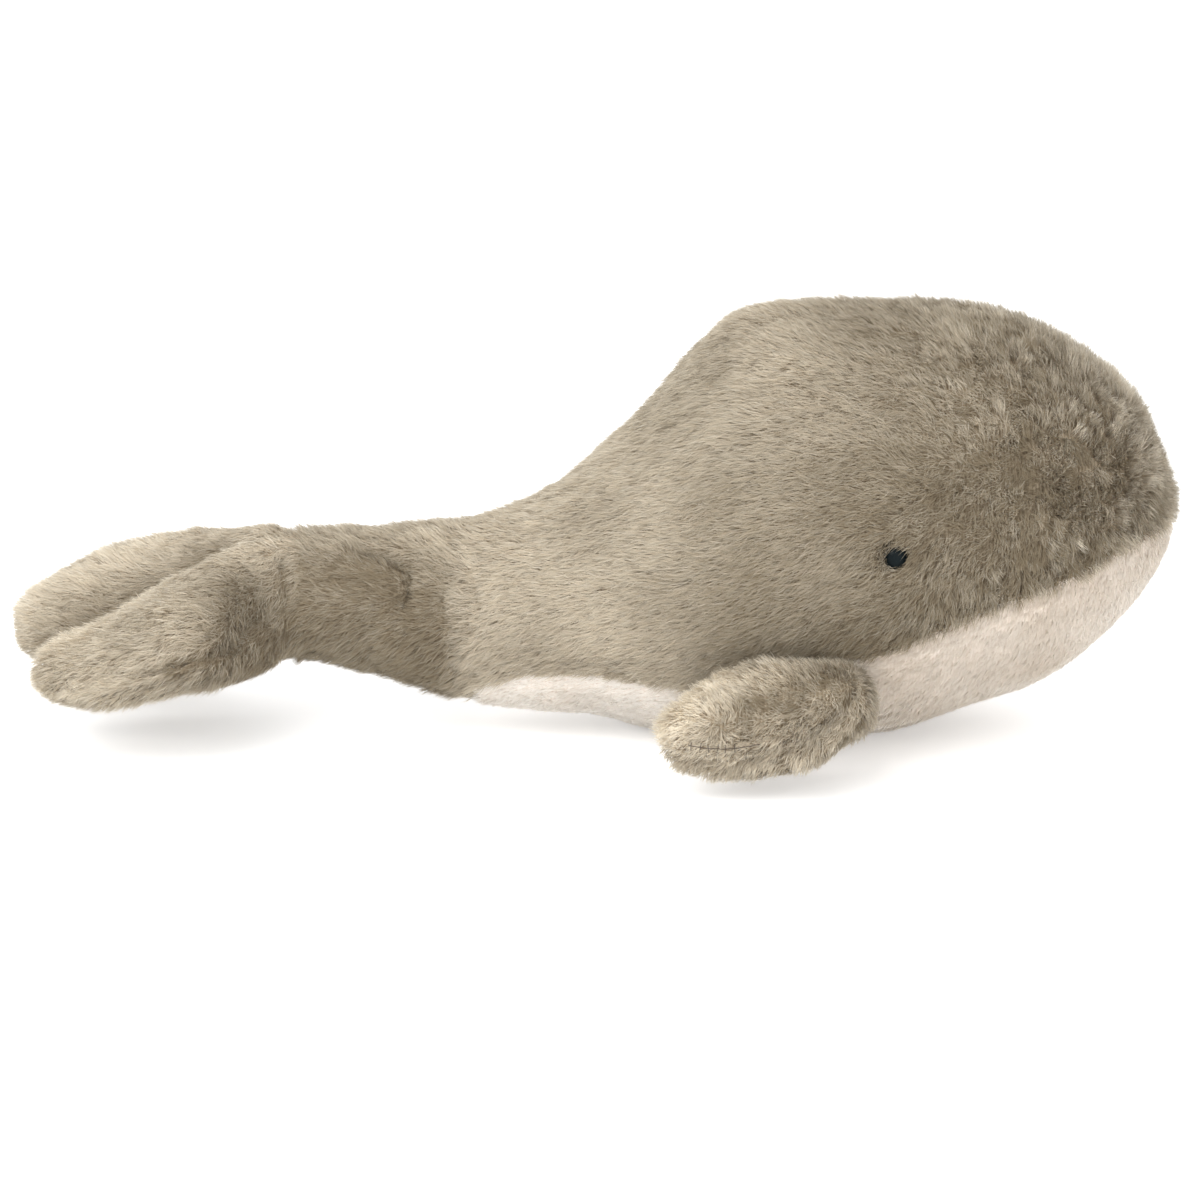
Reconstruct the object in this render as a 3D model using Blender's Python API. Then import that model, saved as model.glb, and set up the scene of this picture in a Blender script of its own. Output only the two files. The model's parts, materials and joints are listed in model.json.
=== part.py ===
"""A stuffed plush whale: sewn panels round a soft filling, a tail that sways, flukes and fins that lift.

+X points to the head, +Z up, and the whale is symmetric about Y = 0. It lies on its belly at Z = 0.
All sizes are in metres, to the face that the short, combed pile makes when a hand lies on it.
"""

import math

import bmesh
import bpy
from mathutils import Matrix, Vector

MM = 0.001

# Sewing allowances
SEAM_GAP = 0.3 * MM
FIT_GAP = 0.5 * MM
PAD_FIT_GAP = 0.6 * MM
JOINT_CLEARANCE = 0.6 * MM
CUT_OVERRUN = 20 * MM
FLOOR_CUT_DEPTH = 0.5 * MM
MERGE_DISTANCE = 0.03 * MM
SLIVER_LENGTH = 0.01 * MM

# Body, from the nose to the seam where the tail is sewn on
NOSE_X = 197.6 * MM
BODY_LENGTH = 239 * MM
BODY_HALF_HEIGHT = 74.5 * MM
BODY_HALF_WIDTH = 70 * MM
BODY_PANEL_THICKNESS = 6 * MM
NOSE_OPENING_SHARE = 0.012

# Root of the length share, centre height, half height, half width
BODY_STATION_SHARES = (
    (0.000, 1.074, 0.000, 0.000),
    (0.100, 1.074, 0.151, 0.156),
    (0.160, 1.082, 0.269, 0.278),
    (0.220, 1.107, 0.398, 0.411),
    (0.300, 1.111, 0.559, 0.574),
    (0.380, 1.098, 0.695, 0.709),
    (0.460, 1.085, 0.820, 0.832),
    (0.540, 1.068, 0.901, 0.904),
    (0.610, 1.017, 0.971, 0.959),
    (0.660, 0.973, 1.020, 1.001),
    (0.710, 0.971, 1.018, 0.999),
    (0.760, 0.963, 1.010, 0.985),
    (0.795, 0.937, 0.984, 0.942),
    (0.820, 0.885, 0.929, 0.885),
    (0.845, 0.811, 0.849, 0.806),
    (0.870, 0.751, 0.764, 0.733),
    (0.900, 0.695, 0.652, 0.653),
    (0.930, 0.638, 0.547, 0.568),
    (0.965, 0.595, 0.463, 0.491),
    (1.000, 0.575, 0.415, 0.442),
)

# Root of the length share, and where the side seam lies, as a share of the half turn from the back
SIDE_SEAM_SHARES = (
    (0.000, 0.585),
    (0.190, 0.559),
    (0.360, 0.568),
    (0.464, 0.587),
    (0.575, 0.603),
    (0.667, 0.620),
    (0.760, 0.651),
    (0.856, 0.680),
    (0.920, 0.658),
    (0.966, 0.676),
    (1.000, 0.720),
)

# Tail stock, from its ball-shaped front, which sways in the body's rear, to the fluke seam
BODY_RIM_WALL = 1.9 * MM
REAR_CENTRE_SHARE, REAR_HEIGHT_SHARE, REAR_WIDTH_SHARE = BODY_STATION_SHARES[-1][1:]
TAIL_BALL_CENTRE_Z = BODY_HALF_HEIGHT * REAR_CENTRE_SHARE
TAIL_BALL_HALF_HEIGHT = BODY_HALF_HEIGHT * REAR_HEIGHT_SHARE - BODY_RIM_WALL
TAIL_BALL_RADIUS = BODY_HALF_WIDTH * REAR_WIDTH_SHARE - BODY_RIM_WALL
TAIL_LENGTH = 48 * MM
TAIL_PANEL_THICKNESS = 5.5 * MM
TAIL_SWAY_DEG = 22
TAIL_OPENING_DEG = 3
# Length share behind the sway axis, centre height and half height and width as shares of the ball's
TAIL_STATION_SHARES = (
    (0.00, 1.000, 1.000, 1.000),
    (0.33, 1.043, 0.900, 0.925),
    (0.66, 1.090, 0.815, 0.880),
    (1.00, 1.110, 0.735, 0.870),
)
TAIL_RIM_MARGIN = 1.2 * MM

# Flukes, hinged at the rear of the tail stock
TAIL_RIM_WALL = 0.8 * MM
FLUKE_AXIS_Z = TAIL_BALL_CENTRE_Z * TAIL_STATION_SHARES[-1][1]
FLUKE_ROOT_RADIUS = TAIL_BALL_HALF_HEIGHT * TAIL_STATION_SHARES[-1][2] - TAIL_RIM_WALL
FLUKE_ROOT_HALF_WIDTH = TAIL_BALL_RADIUS * TAIL_STATION_SHARES[-1][3]
FLUKE_LENGTH = 89 * MM
FLUKE_HALF_WIDTH = 62 * MM
FLUKE_DROOP_DEG = 14.6
FLUKE_LIFT_DEG = 25
FLUKE_PANEL_THICKNESS = 5.5 * MM
FLUKE_NOTCH_SHARE = 0.27
FLUKE_NOTCH_RISE = 18 * MM
FLUKE_EDGE_RAMP = 8
FLUKE_EDGE_WIDTH = 18 * MM
FLUKE_RIM_MARGIN = 1.2 * MM
# Length share behind the hinge, inner edge, outer edge, half thickness and crest of the lobe
FLUKE_STATION_SHARES = (
    (0.00, 0.000, 0.411, 1.000, 0.00),
    (0.08, 0.000, 0.560, 0.990, 0.12),
    (0.18, 0.000, 0.830, 0.950, 0.25),
    (0.27, 0.000, 0.955, 0.900, 0.36),
    (0.40, 0.030, 1.000, 0.840, 0.44),
    (0.55, 0.050, 0.990, 0.760, 0.48),
    (0.70, 0.075, 0.930, 0.640, 0.50),
    (0.84, 0.130, 0.830, 0.510, 0.50),
    (0.94, 0.250, 0.690, 0.340, 0.50),
    (0.985, 0.370, 0.580, 0.190, 0.50),
    (1.00, 0.475, 0.475, 0.000, 0.50),
)

# Fins, hinged along the flank just under the side seam
FIN_LENGTH = 75 * MM
FIN_FRONT_X = 89.6 * MM
FIN_ROOT_RADIUS = 8 * MM
FIN_REACH = 29 * MM
FIN_TOP_HEIGHT = 13.8 * MM
FIN_BOTTOM_HEIGHT = 17 * MM
FIN_PANEL_THICKNESS = 5.5 * MM
FIN_DROOP_DEG = 42
FIN_ROOT_X = 66.6 * MM
FIN_ROOT_TURN_SHARE = 0.634
FIN_ROOT_GAP = 0.5 * MM
FIN_NECK_SHARE = 0.59
FIN_CREST_SHARE = 0.60
FIN_EDGE_WIDTH = 18 * MM
# Inner edge, outer edge and half thickness, at even steps of a half turn from the front to the tip
FIN_STATION_SHARES = (
    (0.325, 0.325, 0.00),
    (0.110, 0.600, 0.52),
    (0.000, 0.760, 0.82),
    (0.000, 0.880, 0.97),
    (0.000, 0.955, 1.00),
    (0.090, 1.000, 0.94),
    (0.300, 0.990, 0.74),
    (0.510, 0.890, 0.42),
    (0.700, 0.700, 0.00),
)

# Eyes: a dome on a stem, locked by a washer behind the panel
EYE_X = 92.3 * MM
EYE_TURN_SHARE = 0.470
EYE_RADIUS = 4.5 * MM
EYE_DOME_HEIGHT = 3.8 * MM
EYE_RIM_HEIGHT = 0.6 * MM
EYE_SINK = 4.9 * MM
EYE_STEM_RADIUS = 1.3 * MM
EYE_STEM_LENGTH = 6 * MM
EYE_CLEARANCE = 0.3 * MM
WASHER_RADIUS = 5.5 * MM
WASHER_THICKNESS = 1.2 * MM
WASHER_DEPTH = 7.8 * MM

# Mesh fineness, as counts
BODY_ROWS = 24
SIDE_COLUMNS = 8
BELLY_COLUMNS = 8
TAIL_ROWS = 12
TAIL_COLUMNS = 8
BALL_ROWS = 5
SOCKET_TURNS = 32
SOCKET_RINGS = 20
PAD_ROWS = 14
PAD_COLUMNS = 7
PAD_ROOT_ROWS = 4
PAD_NOTCH_ROWS = 3
EYE_STEPS = 12
EYE_DOME_RINGS = 7
SHARP_EDGE_DEG = 50
NORMAL_STEP_SHARE = 0.001

TAIL_AXIS_X = NOSE_X - BODY_LENGTH - TAIL_RIM_MARGIN - (
    TAIL_BALL_RADIUS * math.sin(math.radians(TAIL_SWAY_DEG))
)
FLUKE_AXIS_X = TAIL_AXIS_X - TAIL_LENGTH - FLUKE_RIM_MARGIN - (
    FLUKE_ROOT_RADIUS * math.sin(math.radians(FLUKE_LIFT_DEG))
)

# Colour, roughness, metallic
TAUPE = (0.36, 0.32, 0.25), 0.9, 0.0
CREAM = (0.78, 0.70, 0.63), 0.9, 0.0
FIBRE = (0.86, 0.86, 0.85), 0.95, 0.0
EYE_BLACK = (0.010, 0.018, 0.024), 0.2, 0.0
WASHER_WHITE = (0.80, 0.80, 0.78), 0.45, 0.0


def interpolate(stations, at):
    """Smooth values between hand-chosen stations, by a cubic through each station's neighbours."""
    places = [station[0] for station in stations]
    last = len(stations) - 1
    i = max(0, min(last - 1, sum(place <= at for place in places) - 1))
    before, after = stations[max(i - 1, 0)], stations[min(i + 2, last)]
    low, high = stations[i], stations[i + 1]
    step = high[0] - low[0]
    t = max(0.0, min(1.0, (at - low[0]) / step))
    values = []
    for k in range(1, len(low)):
        slope_low = (high[k] - before[k]) / (high[0] - before[0])
        slope_high = (after[k] - low[k]) / (after[0] - low[0])
        hermite = (
            low[k] * (1 + 2 * t) * (1 - t) ** 2
            + high[k] * t * t * (3 - 2 * t)
            + slope_low * step * t * (1 - t) ** 2
            - slope_high * step * t * t * (1 - t)
        )
        values.append(hermite)
    return values


def body_section(root):
    """X, centre height, half height and half width of the body at the root of a share of its length."""
    centre, half_height, half_width = interpolate(BODY_STATION_SHARES, root)
    return (
        NOSE_X - BODY_LENGTH * root * root,
        centre * BODY_HALF_HEIGHT,
        half_height * BODY_HALF_HEIGHT,
        half_width * BODY_HALF_WIDTH,
    )


def tail_section(share):
    """The same for the tail stock: a ball up to share 0, then a stock that narrows towards the flukes."""
    if share <= 0:
        round_off = math.sqrt(max(0.0, 1 - share * share))
        return (
            TAIL_AXIS_X - TAIL_BALL_RADIUS * share,
            TAIL_BALL_CENTRE_Z,
            TAIL_BALL_HALF_HEIGHT * round_off,
            TAIL_BALL_RADIUS * round_off,
        )
    centre, half_height, half_width = interpolate(TAIL_STATION_SHARES, share)
    return (
        TAIL_AXIS_X - TAIL_LENGTH * share,
        centre * TAIL_BALL_CENTRE_Z,
        half_height * TAIL_BALL_HALF_HEIGHT,
        half_width * TAIL_BALL_RADIUS,
    )


def on_section(section, turn):
    """The point of a section at a share of the half turn from the back, positive towards +Y."""
    x, centre, half_height, half_width = section
    angle = math.pi * turn
    return Vector((x, half_width * math.sin(angle), centre + half_height * math.cos(angle)))


def body_point(root, turn):
    """A point of the body, whose belly is pressed flat where the whale lies on it."""
    place = on_section(body_section(root), turn)
    place.z = max(place.z, -FLOOR_CUT_DEPTH)
    return place


def normal_of(point, u, v, inside):
    """The normal of the surface that point(u, v) describes, away from a point inside it."""
    step = NORMAL_STEP_SHARE
    along = point(min(u + step, 1.0), v) - point(max(u - step, 0.0), v)
    across = point(u, v + step) - point(u, v - step)
    normal = along.cross(across).normalized()
    return normal if normal.dot(point(u, v) - inside) > 0 else -normal


def under(point, u, v, depth, inside):
    """The point at a depth under the surface."""
    return point(u, v) - normal_of(point, u, v, inside) * depth


def side_seam(root):
    return interpolate(SIDE_SEAM_SHARES, root)[0]


def turn_of_gap(section, gap):
    """The share of a half turn that a gap takes on a section."""
    return gap / (math.pi * max(section[2], gap))


def body_root_at(x):
    return math.sqrt((NOSE_X - x) / BODY_LENGTH)


def collection(name):
    made = bpy.data.collections.new(name)
    bpy.context.scene.collection.children.link(made)
    return made


def material(name, finish):
    colour, roughness, metallic = finish
    made = bpy.data.materials.new(name)
    made.use_nodes = True
    shader = made.node_tree.nodes["Principled BSDF"]
    shader.inputs["Base Color"].default_value = (*colour, 1)
    shader.inputs["Roughness"].default_value = roughness
    shader.inputs["Metallic"].default_value = metallic
    made.diffuse_color = (*colour, 1)
    return made


def joint_empty(name, place):
    """The empty that a moving body's pieces hang from, on the joint's axis."""
    empty = bpy.data.objects.new(name, None)
    empty.location = place
    empty.empty_display_size = FIN_ROOT_RADIUS
    PARTS.objects.link(empty)
    return empty


def add_object(name, mesh_data, finish, parent=None):
    """Makes a part from a bmesh that is in world coordinates, and hangs it from its joint's empty."""
    bmesh.ops.triangulate(mesh_data, faces=mesh_data.faces, quad_method="SHORT_EDGE")
    bmesh.ops.recalc_face_normals(mesh_data, faces=mesh_data.faces)
    if mesh_data.calc_volume(signed=True) < 0:
        bmesh.ops.reverse_faces(mesh_data, faces=mesh_data.faces)
    mesh = bpy.data.meshes.new(name)
    mesh_data.to_mesh(mesh)
    mesh_data.free()
    mesh.shade_smooth()
    mesh.set_sharp_from_angle(angle=math.radians(SHARP_EDGE_DEG))
    part = bpy.data.objects.new(name, mesh)
    mesh.materials.append(material(name, finish))
    PARTS.objects.link(part)
    if parent:
        part.parent = parent
        mesh.transform(Matrix.Translation(-parent.location))
    return part


def add_cutter(name, mesh_data):
    bmesh.ops.recalc_face_normals(mesh_data, faces=mesh_data.faces)
    mesh = bpy.data.meshes.new(name)
    mesh_data.to_mesh(mesh)
    mesh_data.free()
    cutter = bpy.data.objects.new(name, mesh)
    cutter.hide_render = True
    cutter.display_type = "WIRE"
    CUTTERS.objects.link(cutter)
    return cutter


def cut(part, cutter):
    modifier = part.modifiers.new("cut_" + cutter.name, "BOOLEAN")
    modifier.operation = "DIFFERENCE"
    modifier.solver = "EXACT"
    modifier.object = cutter


def reshaped_grid(rows, columns, place):
    """A sheet of rows by columns of faces, each vertex put where place(row share, column share) says."""
    sheet = bmesh.new()
    bmesh.ops.create_grid(sheet, x_segments=rows, y_segments=columns, size=0.5)
    for vertex in sheet.verts:
        vertex.co = place(vertex.co.x + 0.5, vertex.co.y + 0.5)
    return sheet


def lathe_ball(name, centre, radii):
    ball = bmesh.new()
    bmesh.ops.create_uvsphere(ball, u_segments=SOCKET_TURNS, v_segments=SOCKET_RINGS, radius=1)
    bmesh.ops.scale(ball, vec=radii, verts=ball.verts)
    bmesh.ops.translate(ball, vec=centre, verts=ball.verts)
    return add_cutter(name, ball)


def box_cutter(name, low, high):
    box = bmesh.new()
    bmesh.ops.create_cube(box, size=1)
    bmesh.ops.scale(box, vec=high - low, verts=box.verts)
    bmesh.ops.translate(box, vec=(low + high) / 2, verts=box.verts)
    return add_cutter(name, box)


def filling(name, rows, turns, place, front, rear, parent=None):
    """A stuffing: a ball reshaped so that place(row, turn) gives its rings, with a point at each end."""
    ball = bmesh.new()
    bmesh.ops.create_uvsphere(ball, u_segments=turns, v_segments=rows + 1, radius=1)
    for vertex in ball.verts:
        row = round(math.acos(max(-1.0, min(1.0, vertex.co.z))) / math.pi * (rows + 1))
        turn = round(math.atan2(vertex.co.y, vertex.co.x) / (2 * math.pi) * turns) % turns
        if row == 0:
            vertex.co = front
        elif row > rows:
            vertex.co = rear
        else:
            vertex.co = place(row, turn)
    return add_object(name, ball, FIBRE, parent)


def body_root(row):
    return NOSE_OPENING_SHARE + (1 - NOSE_OPENING_SHARE) * row / BODY_ROWS


def body_turn(root, step):
    """Where the panels' edges between columns lie: the left side's, the belly's, then the right's."""
    seam = side_seam(root)
    if step <= SIDE_COLUMNS:
        return seam * step / SIDE_COLUMNS
    if step <= SIDE_COLUMNS + BELLY_COLUMNS:
        return seam + (2 - 2 * seam) * (step - SIDE_COLUMNS) / BELLY_COLUMNS
    return 2 - seam * (2 * SIDE_COLUMNS + BELLY_COLUMNS - step) / SIDE_COLUMNS


def make_body():
    """The two side panels, the belly panel and the filling."""
    middle = Vector((NOSE_X - BODY_LENGTH / 2, 0, BODY_HALF_HEIGHT))

    def panel(name, first, columns, finish):
        def place(row, column, depth):
            root = body_root(row * BODY_ROWS)
            gap = turn_of_gap(body_section(root), SEAM_GAP / 2)
            start, end = body_turn(root, first) + gap, body_turn(root, first + columns) - gap
            return under(body_point, root, start + (end - start) * column, depth, middle)

        return sewn_panel(
            name,
            (BODY_ROWS, columns),
            lambda row, column: place(row, column, 0),
            lambda row, column: place(row, column, BODY_PANEL_THICKNESS),
            finish,
        )

    left = panel("left_side_panel", 0, SIDE_COLUMNS, TAUPE)
    belly = panel("belly_panel", SIDE_COLUMNS, BELLY_COLUMNS, CREAM)
    right = panel("right_side_panel", SIDE_COLUMNS + BELLY_COLUMNS, SIDE_COLUMNS, TAUPE)
    side_reach = Vector((NOSE_X, BODY_HALF_WIDTH, 0))
    cut(belly, box_cutter("floor", -side_reach - Vector((0, 0, CUT_OVERRUN)), side_reach))

    inset = BODY_PANEL_THICKNESS + FIT_GAP

    def stuffed(row, step):
        root = body_root(row)
        return under(body_point, root, body_turn(root, step), inset, middle)

    front = Vector((NOSE_X - inset, 0, body_section(0)[1]))
    rear = Vector((NOSE_X - BODY_LENGTH, 0, body_section(1)[1]))
    stuffing = filling(
        "body_filling", BODY_ROWS, 2 * SIDE_COLUMNS + BELLY_COLUMNS, stuffed, front, rear
    )
    socket = lathe_ball(
        "tail_socket",
        Vector((TAIL_AXIS_X, 0, TAIL_BALL_CENTRE_Z)),
        Vector(
            (
                TAIL_BALL_RADIUS + JOINT_CLEARANCE,
                TAIL_BALL_RADIUS + JOINT_CLEARANCE,
                TAIL_BALL_HALF_HEIGHT + JOINT_CLEARANCE,
            )
        ),
    )
    for part in (belly, stuffing, left, right):
        cut(part, socket)
    return {"left": left, "right": right}, stuffing


def turned(profile, steps):
    """A profile of (radius, height) points turned about the Z axis, its ends on the axis or joined."""
    made = bmesh.new()
    points = [made.verts.new((radius, 0, height)) for radius, height in profile]
    edges = [made.edges.new(pair) for pair in zip(points, points[1:])]
    bmesh.ops.spin(
        made,
        geom=points + edges,
        cent=(0, 0, 0),
        axis=(0, 0, 1),
        angle=2 * math.pi,
        steps=steps,
        use_merge=True,
    )
    bmesh.ops.remove_doubles(made, verts=made.verts, dist=MERGE_DISTANCE)
    return made


def make_eye(side, hand, panel, stuffing):
    """An eye in its pocket in the pile, with its stem through the backing and the washer behind it."""
    root = body_root_at(EYE_X)
    turn = hand * EYE_TURN_SHARE
    surface = body_point(root, turn)
    normal = normal_of(body_point, root, turn, Vector((EYE_X, 0, BODY_HALF_HEIGHT)))
    facing = Vector((0, 0, 1)).rotation_difference(normal).to_matrix().to_4x4()
    seat = Matrix.Translation(surface - normal * EYE_SINK) @ facing

    dome = [
        (EYE_RADIUS * math.sin(angle), EYE_RIM_HEIGHT + EYE_DOME_HEIGHT * math.cos(angle))
        for angle in (math.pi / 2 * ring / EYE_DOME_RINGS for ring in range(EYE_DOME_RINGS + 1))
    ]
    stem = [
        (EYE_RADIUS, 0),
        (EYE_STEM_RADIUS, 0),
        (EYE_STEM_RADIUS, -EYE_STEM_LENGTH),
        (0, -EYE_STEM_LENGTH),
    ]
    eye = turned(dome + stem, EYE_STEPS)
    eye.transform(seat)
    add_object(side + "_eye", eye, EYE_BLACK)

    pocket_top = EYE_SINK + CUT_OVERRUN
    pocket = turned(
        [
            (0, pocket_top),
            (EYE_RADIUS + EYE_CLEARANCE, pocket_top),
            (EYE_RADIUS + EYE_CLEARANCE, -EYE_CLEARANCE),
            (EYE_STEM_RADIUS + EYE_CLEARANCE, -EYE_CLEARANCE),
            (EYE_STEM_RADIUS + EYE_CLEARANCE, -EYE_STEM_LENGTH),
            (0, -EYE_STEM_LENGTH),
        ],
        EYE_STEPS,
    )
    pocket.transform(seat)
    cut(panel, add_cutter(side + "_eye_pocket", pocket))

    washer_top = EYE_SINK - WASHER_DEPTH
    washer_bottom = washer_top - WASHER_THICKNESS
    hole = EYE_STEM_RADIUS + EYE_CLEARANCE
    washer = turned(
        [
            (hole, washer_top),
            (WASHER_RADIUS, washer_top),
            (WASHER_RADIUS, washer_bottom),
            (hole, washer_bottom),
            (hole, washer_top),
        ],
        EYE_STEPS,
    )
    washer.transform(seat)
    add_object(side + "_eye_washer", washer, WASHER_WHITE)

    hollow_bottom = -EYE_STEM_LENGTH - EYE_CLEARANCE
    hollow = turned(
        [
            (0, 0),
            (WASHER_RADIUS + EYE_CLEARANCE, 0),
            (WASHER_RADIUS + EYE_CLEARANCE, hollow_bottom),
            (0, hollow_bottom),
        ],
        EYE_STEPS,
    )
    hollow.transform(seat)
    cut(stuffing, add_cutter(side + "_washer_hollow", hollow))


def tail_point(row, turn):
    """A point of the tail stock: the first rows go round its ball front, evenly by angle."""
    ball_part = BALL_ROWS / TAIL_ROWS
    if row < ball_part:
        start = math.radians(TAIL_OPENING_DEG)
        return on_section(tail_section(-math.cos(start + (math.pi / 2 - start) * row / ball_part)), turn)
    return on_section(tail_section((row - ball_part) / (1 - ball_part)), turn)


def make_tail():
    """The tail stock: two panels and a filling, with the ball front that turns in the body's rear."""
    hinge = joint_empty("tail_sway_axis", Vector((TAIL_AXIS_X, 0, TAIL_BALL_CENTRE_Z)))
    middle = Vector((TAIL_AXIS_X - TAIL_LENGTH / 2, 0, TAIL_BALL_CENTRE_Z))

    def panel(name, first):
        def place(row, column, depth):
            gap = SEAM_GAP / 2 / (math.pi * max(tail_point(row, 1 / 2).y, SEAM_GAP))
            return under(tail_point, row, first + gap + (1 - 2 * gap) * column, depth, middle)

        return sewn_panel(
            name,
            (TAIL_ROWS, TAIL_COLUMNS),
            lambda row, column: place(row, column, 0),
            lambda row, column: place(row, column, TAIL_PANEL_THICKNESS),
            TAUPE,
            hinge,
        )

    inset = TAIL_PANEL_THICKNESS + FIT_GAP

    def stuffed(row, step):
        return under(tail_point, row / TAIL_ROWS, step / TAIL_COLUMNS, inset, middle)

    front = Vector((TAIL_AXIS_X + TAIL_BALL_RADIUS - inset, 0, TAIL_BALL_CENTRE_Z))
    rear = Vector((TAIL_AXIS_X - TAIL_LENGTH, 0, tail_section(1)[1]))
    stuffing = filling("tail_filling", TAIL_ROWS, 2 * TAIL_COLUMNS, stuffed, front, rear, hinge)
    parts = [panel("tail_left_panel", 0), panel("tail_right_panel", 1), stuffing]
    socket = lathe_ball(
        "fluke_socket",
        Vector((FLUKE_AXIS_X, 0, FLUKE_AXIS_Z)),
        Vector(
            (
                FLUKE_ROOT_RADIUS + JOINT_CLEARANCE,
                FLUKE_ROOT_HALF_WIDTH + JOINT_CLEARANCE,
                FLUKE_ROOT_RADIUS + JOINT_CLEARANCE,
            )
        ),
    )
    for part in parts:
        cut(part, socket)
    return hinge


def dome(across, crest, valley, neck=1.0):
    """How high a sewn pad stands at a share of the way across: nothing at the seams, all at its crest."""
    if across > crest:
        return math.sqrt(max(0.0, 1 - ((across - crest) / (1 - crest)) ** 2))
    if crest <= 0:
        return 1.0
    near = across / crest
    rise = near * near * (3 - 2 * near)
    round_off = math.sqrt(max(0.0, 1 - (1 - near) ** 2))
    return valley + (1 - valley) * round_off * (neck + (1 - neck) * rise)


def sewn_panel(name, counts, outer, inner, finish, parent=None, place=None, mirrored=False):
    """A panel: a sheet of rows and columns, with its outer face, its inner face and its edges."""
    shell = bmesh.new()
    bmesh.ops.create_grid(shell, x_segments=counts[0], y_segments=counts[1], size=0.5)
    marks = shell.verts.layers.int.new("inner")
    grown = bmesh.ops.extrude_face_region(shell, geom=shell.faces[:], use_keep_orig=True)
    for item in grown["geom"]:
        if isinstance(item, bmesh.types.BMVert):
            item[marks] = 1
    for vertex in shell.verts:
        at = vertex.co.x + 0.5, vertex.co.y + 0.5
        vertex.co = inner(*at) if vertex[marks] else outer(*at)
    if mirrored:
        middle = [
            face
            for face in shell.faces
            if all(abs(vertex.co.y) < MERGE_DISTANCE for vertex in face.verts)
        ]
        bmesh.ops.delete(shell, geom=middle, context="FACES")
        bmesh.ops.mirror(
            shell,
            geom=shell.verts[:] + shell.edges[:] + shell.faces[:],
            axis="Y",
            merge_dist=MERGE_DISTANCE,
        )
    bmesh.ops.dissolve_degenerate(shell, edges=shell.edges, dist=SLIVER_LENGTH)
    if place:
        shell.transform(place)
    return add_object(name, shell, finish, parent)


def pad_filling(name, face, finish, parent, place, mirrored=False):
    """A pad's stuffing: its upper and lower face, met round their edge."""
    upper = reshaped_grid(PAD_ROWS, PAD_COLUMNS, lambda row, column: face(row, column, 1))
    lower = bpy.data.meshes.new("lower")
    sheet = reshaped_grid(PAD_ROWS, PAD_COLUMNS, lambda row, column: face(row, column, -1))
    sheet.to_mesh(lower)
    sheet.free()
    upper.from_mesh(lower)
    bpy.data.meshes.remove(lower)
    if mirrored:
        bmesh.ops.mirror(
            upper,
            geom=upper.verts[:] + upper.edges[:] + upper.faces[:],
            axis="Y",
            merge_dist=MERGE_DISTANCE,
        )
    bmesh.ops.remove_doubles(upper, verts=upper.verts, dist=MERGE_DISTANCE)
    bmesh.ops.dissolve_degenerate(upper, edges=upper.edges, dist=SLIVER_LENGTH)
    upper.transform(place)
    return add_object(name, upper, finish, parent)


def fluke_share(row):
    """The share of the length for a row: rows up to the notch, one on it, and closer ones to the tip."""
    along = row * PAD_ROWS - PAD_ROOT_ROWS
    if along <= PAD_NOTCH_ROWS:
        return FLUKE_NOTCH_SHARE * along / PAD_NOTCH_ROWS
    beyond = (along - PAD_NOTCH_ROWS) / (PAD_ROWS - PAD_ROOT_ROWS - PAD_NOTCH_ROWS)
    return FLUKE_NOTCH_SHARE + (1 - FLUKE_NOTCH_SHARE) * math.sin(math.pi / 2 * beyond)


def fluke_point(row, column, side, inset, gap):
    """A point on a lobe's face. Row 0 is the front of the round root, and the rows end at the tip."""
    share = fluke_share(row)
    thickness = (FLUKE_ROOT_RADIUS - inset) / FLUKE_ROOT_RADIUS
    if share <= 0:
        angle = math.pi / 2 * (1 + share * PAD_NOTCH_ROWS / (PAD_ROOT_ROWS * FLUKE_NOTCH_SHARE))
        front = FLUKE_ROOT_RADIUS * thickness * math.cos(angle)
        reach = (FLUKE_ROOT_HALF_WIDTH - inset) * math.sin(angle)
        height = FLUKE_ROOT_RADIUS * thickness * math.sin(angle) * dome(column, 0, 1)
        return Vector((front, reach * column, side * (height + gap)))
    inner, outer, height, crest = interpolate(FLUKE_STATION_SHARES, share)
    past_notch = max(0.0, share - FLUKE_NOTCH_SHARE) / (1 - FLUKE_NOTCH_SHARE)
    before_notch = min(share, FLUKE_NOTCH_SHARE) / FLUKE_NOTCH_SHARE
    notch = FLUKE_LENGTH * FLUKE_NOTCH_SHARE
    drawn_in = inset * before_notch * (1 - 2 * column * (1 - past_notch))
    back = notch * before_notch + (FLUKE_LENGTH - notch) * past_notch - drawn_in
    inner = max(inner, 0.0) * FLUKE_HALF_WIDTH
    outer = outer * FLUKE_HALF_WIDTH
    edge = inset * min(1.0, (outer - inner) / FLUKE_EDGE_WIDTH)
    inner_edge = inner + edge * min(1.0, FLUKE_EDGE_RAMP * past_notch)
    outer_edge = outer - edge
    to_notch = min(1.0, notch * (1 - before_notch) / FLUKE_NOTCH_RISE)
    valley = math.sqrt(1 - (1 - to_notch) ** 2)
    rise = height * FLUKE_ROOT_RADIUS * thickness * dome(column, crest, valley)
    across = inner_edge + (outer_edge - inner_edge) * column
    return Vector((-back, across, side * (rise + gap)))


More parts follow.
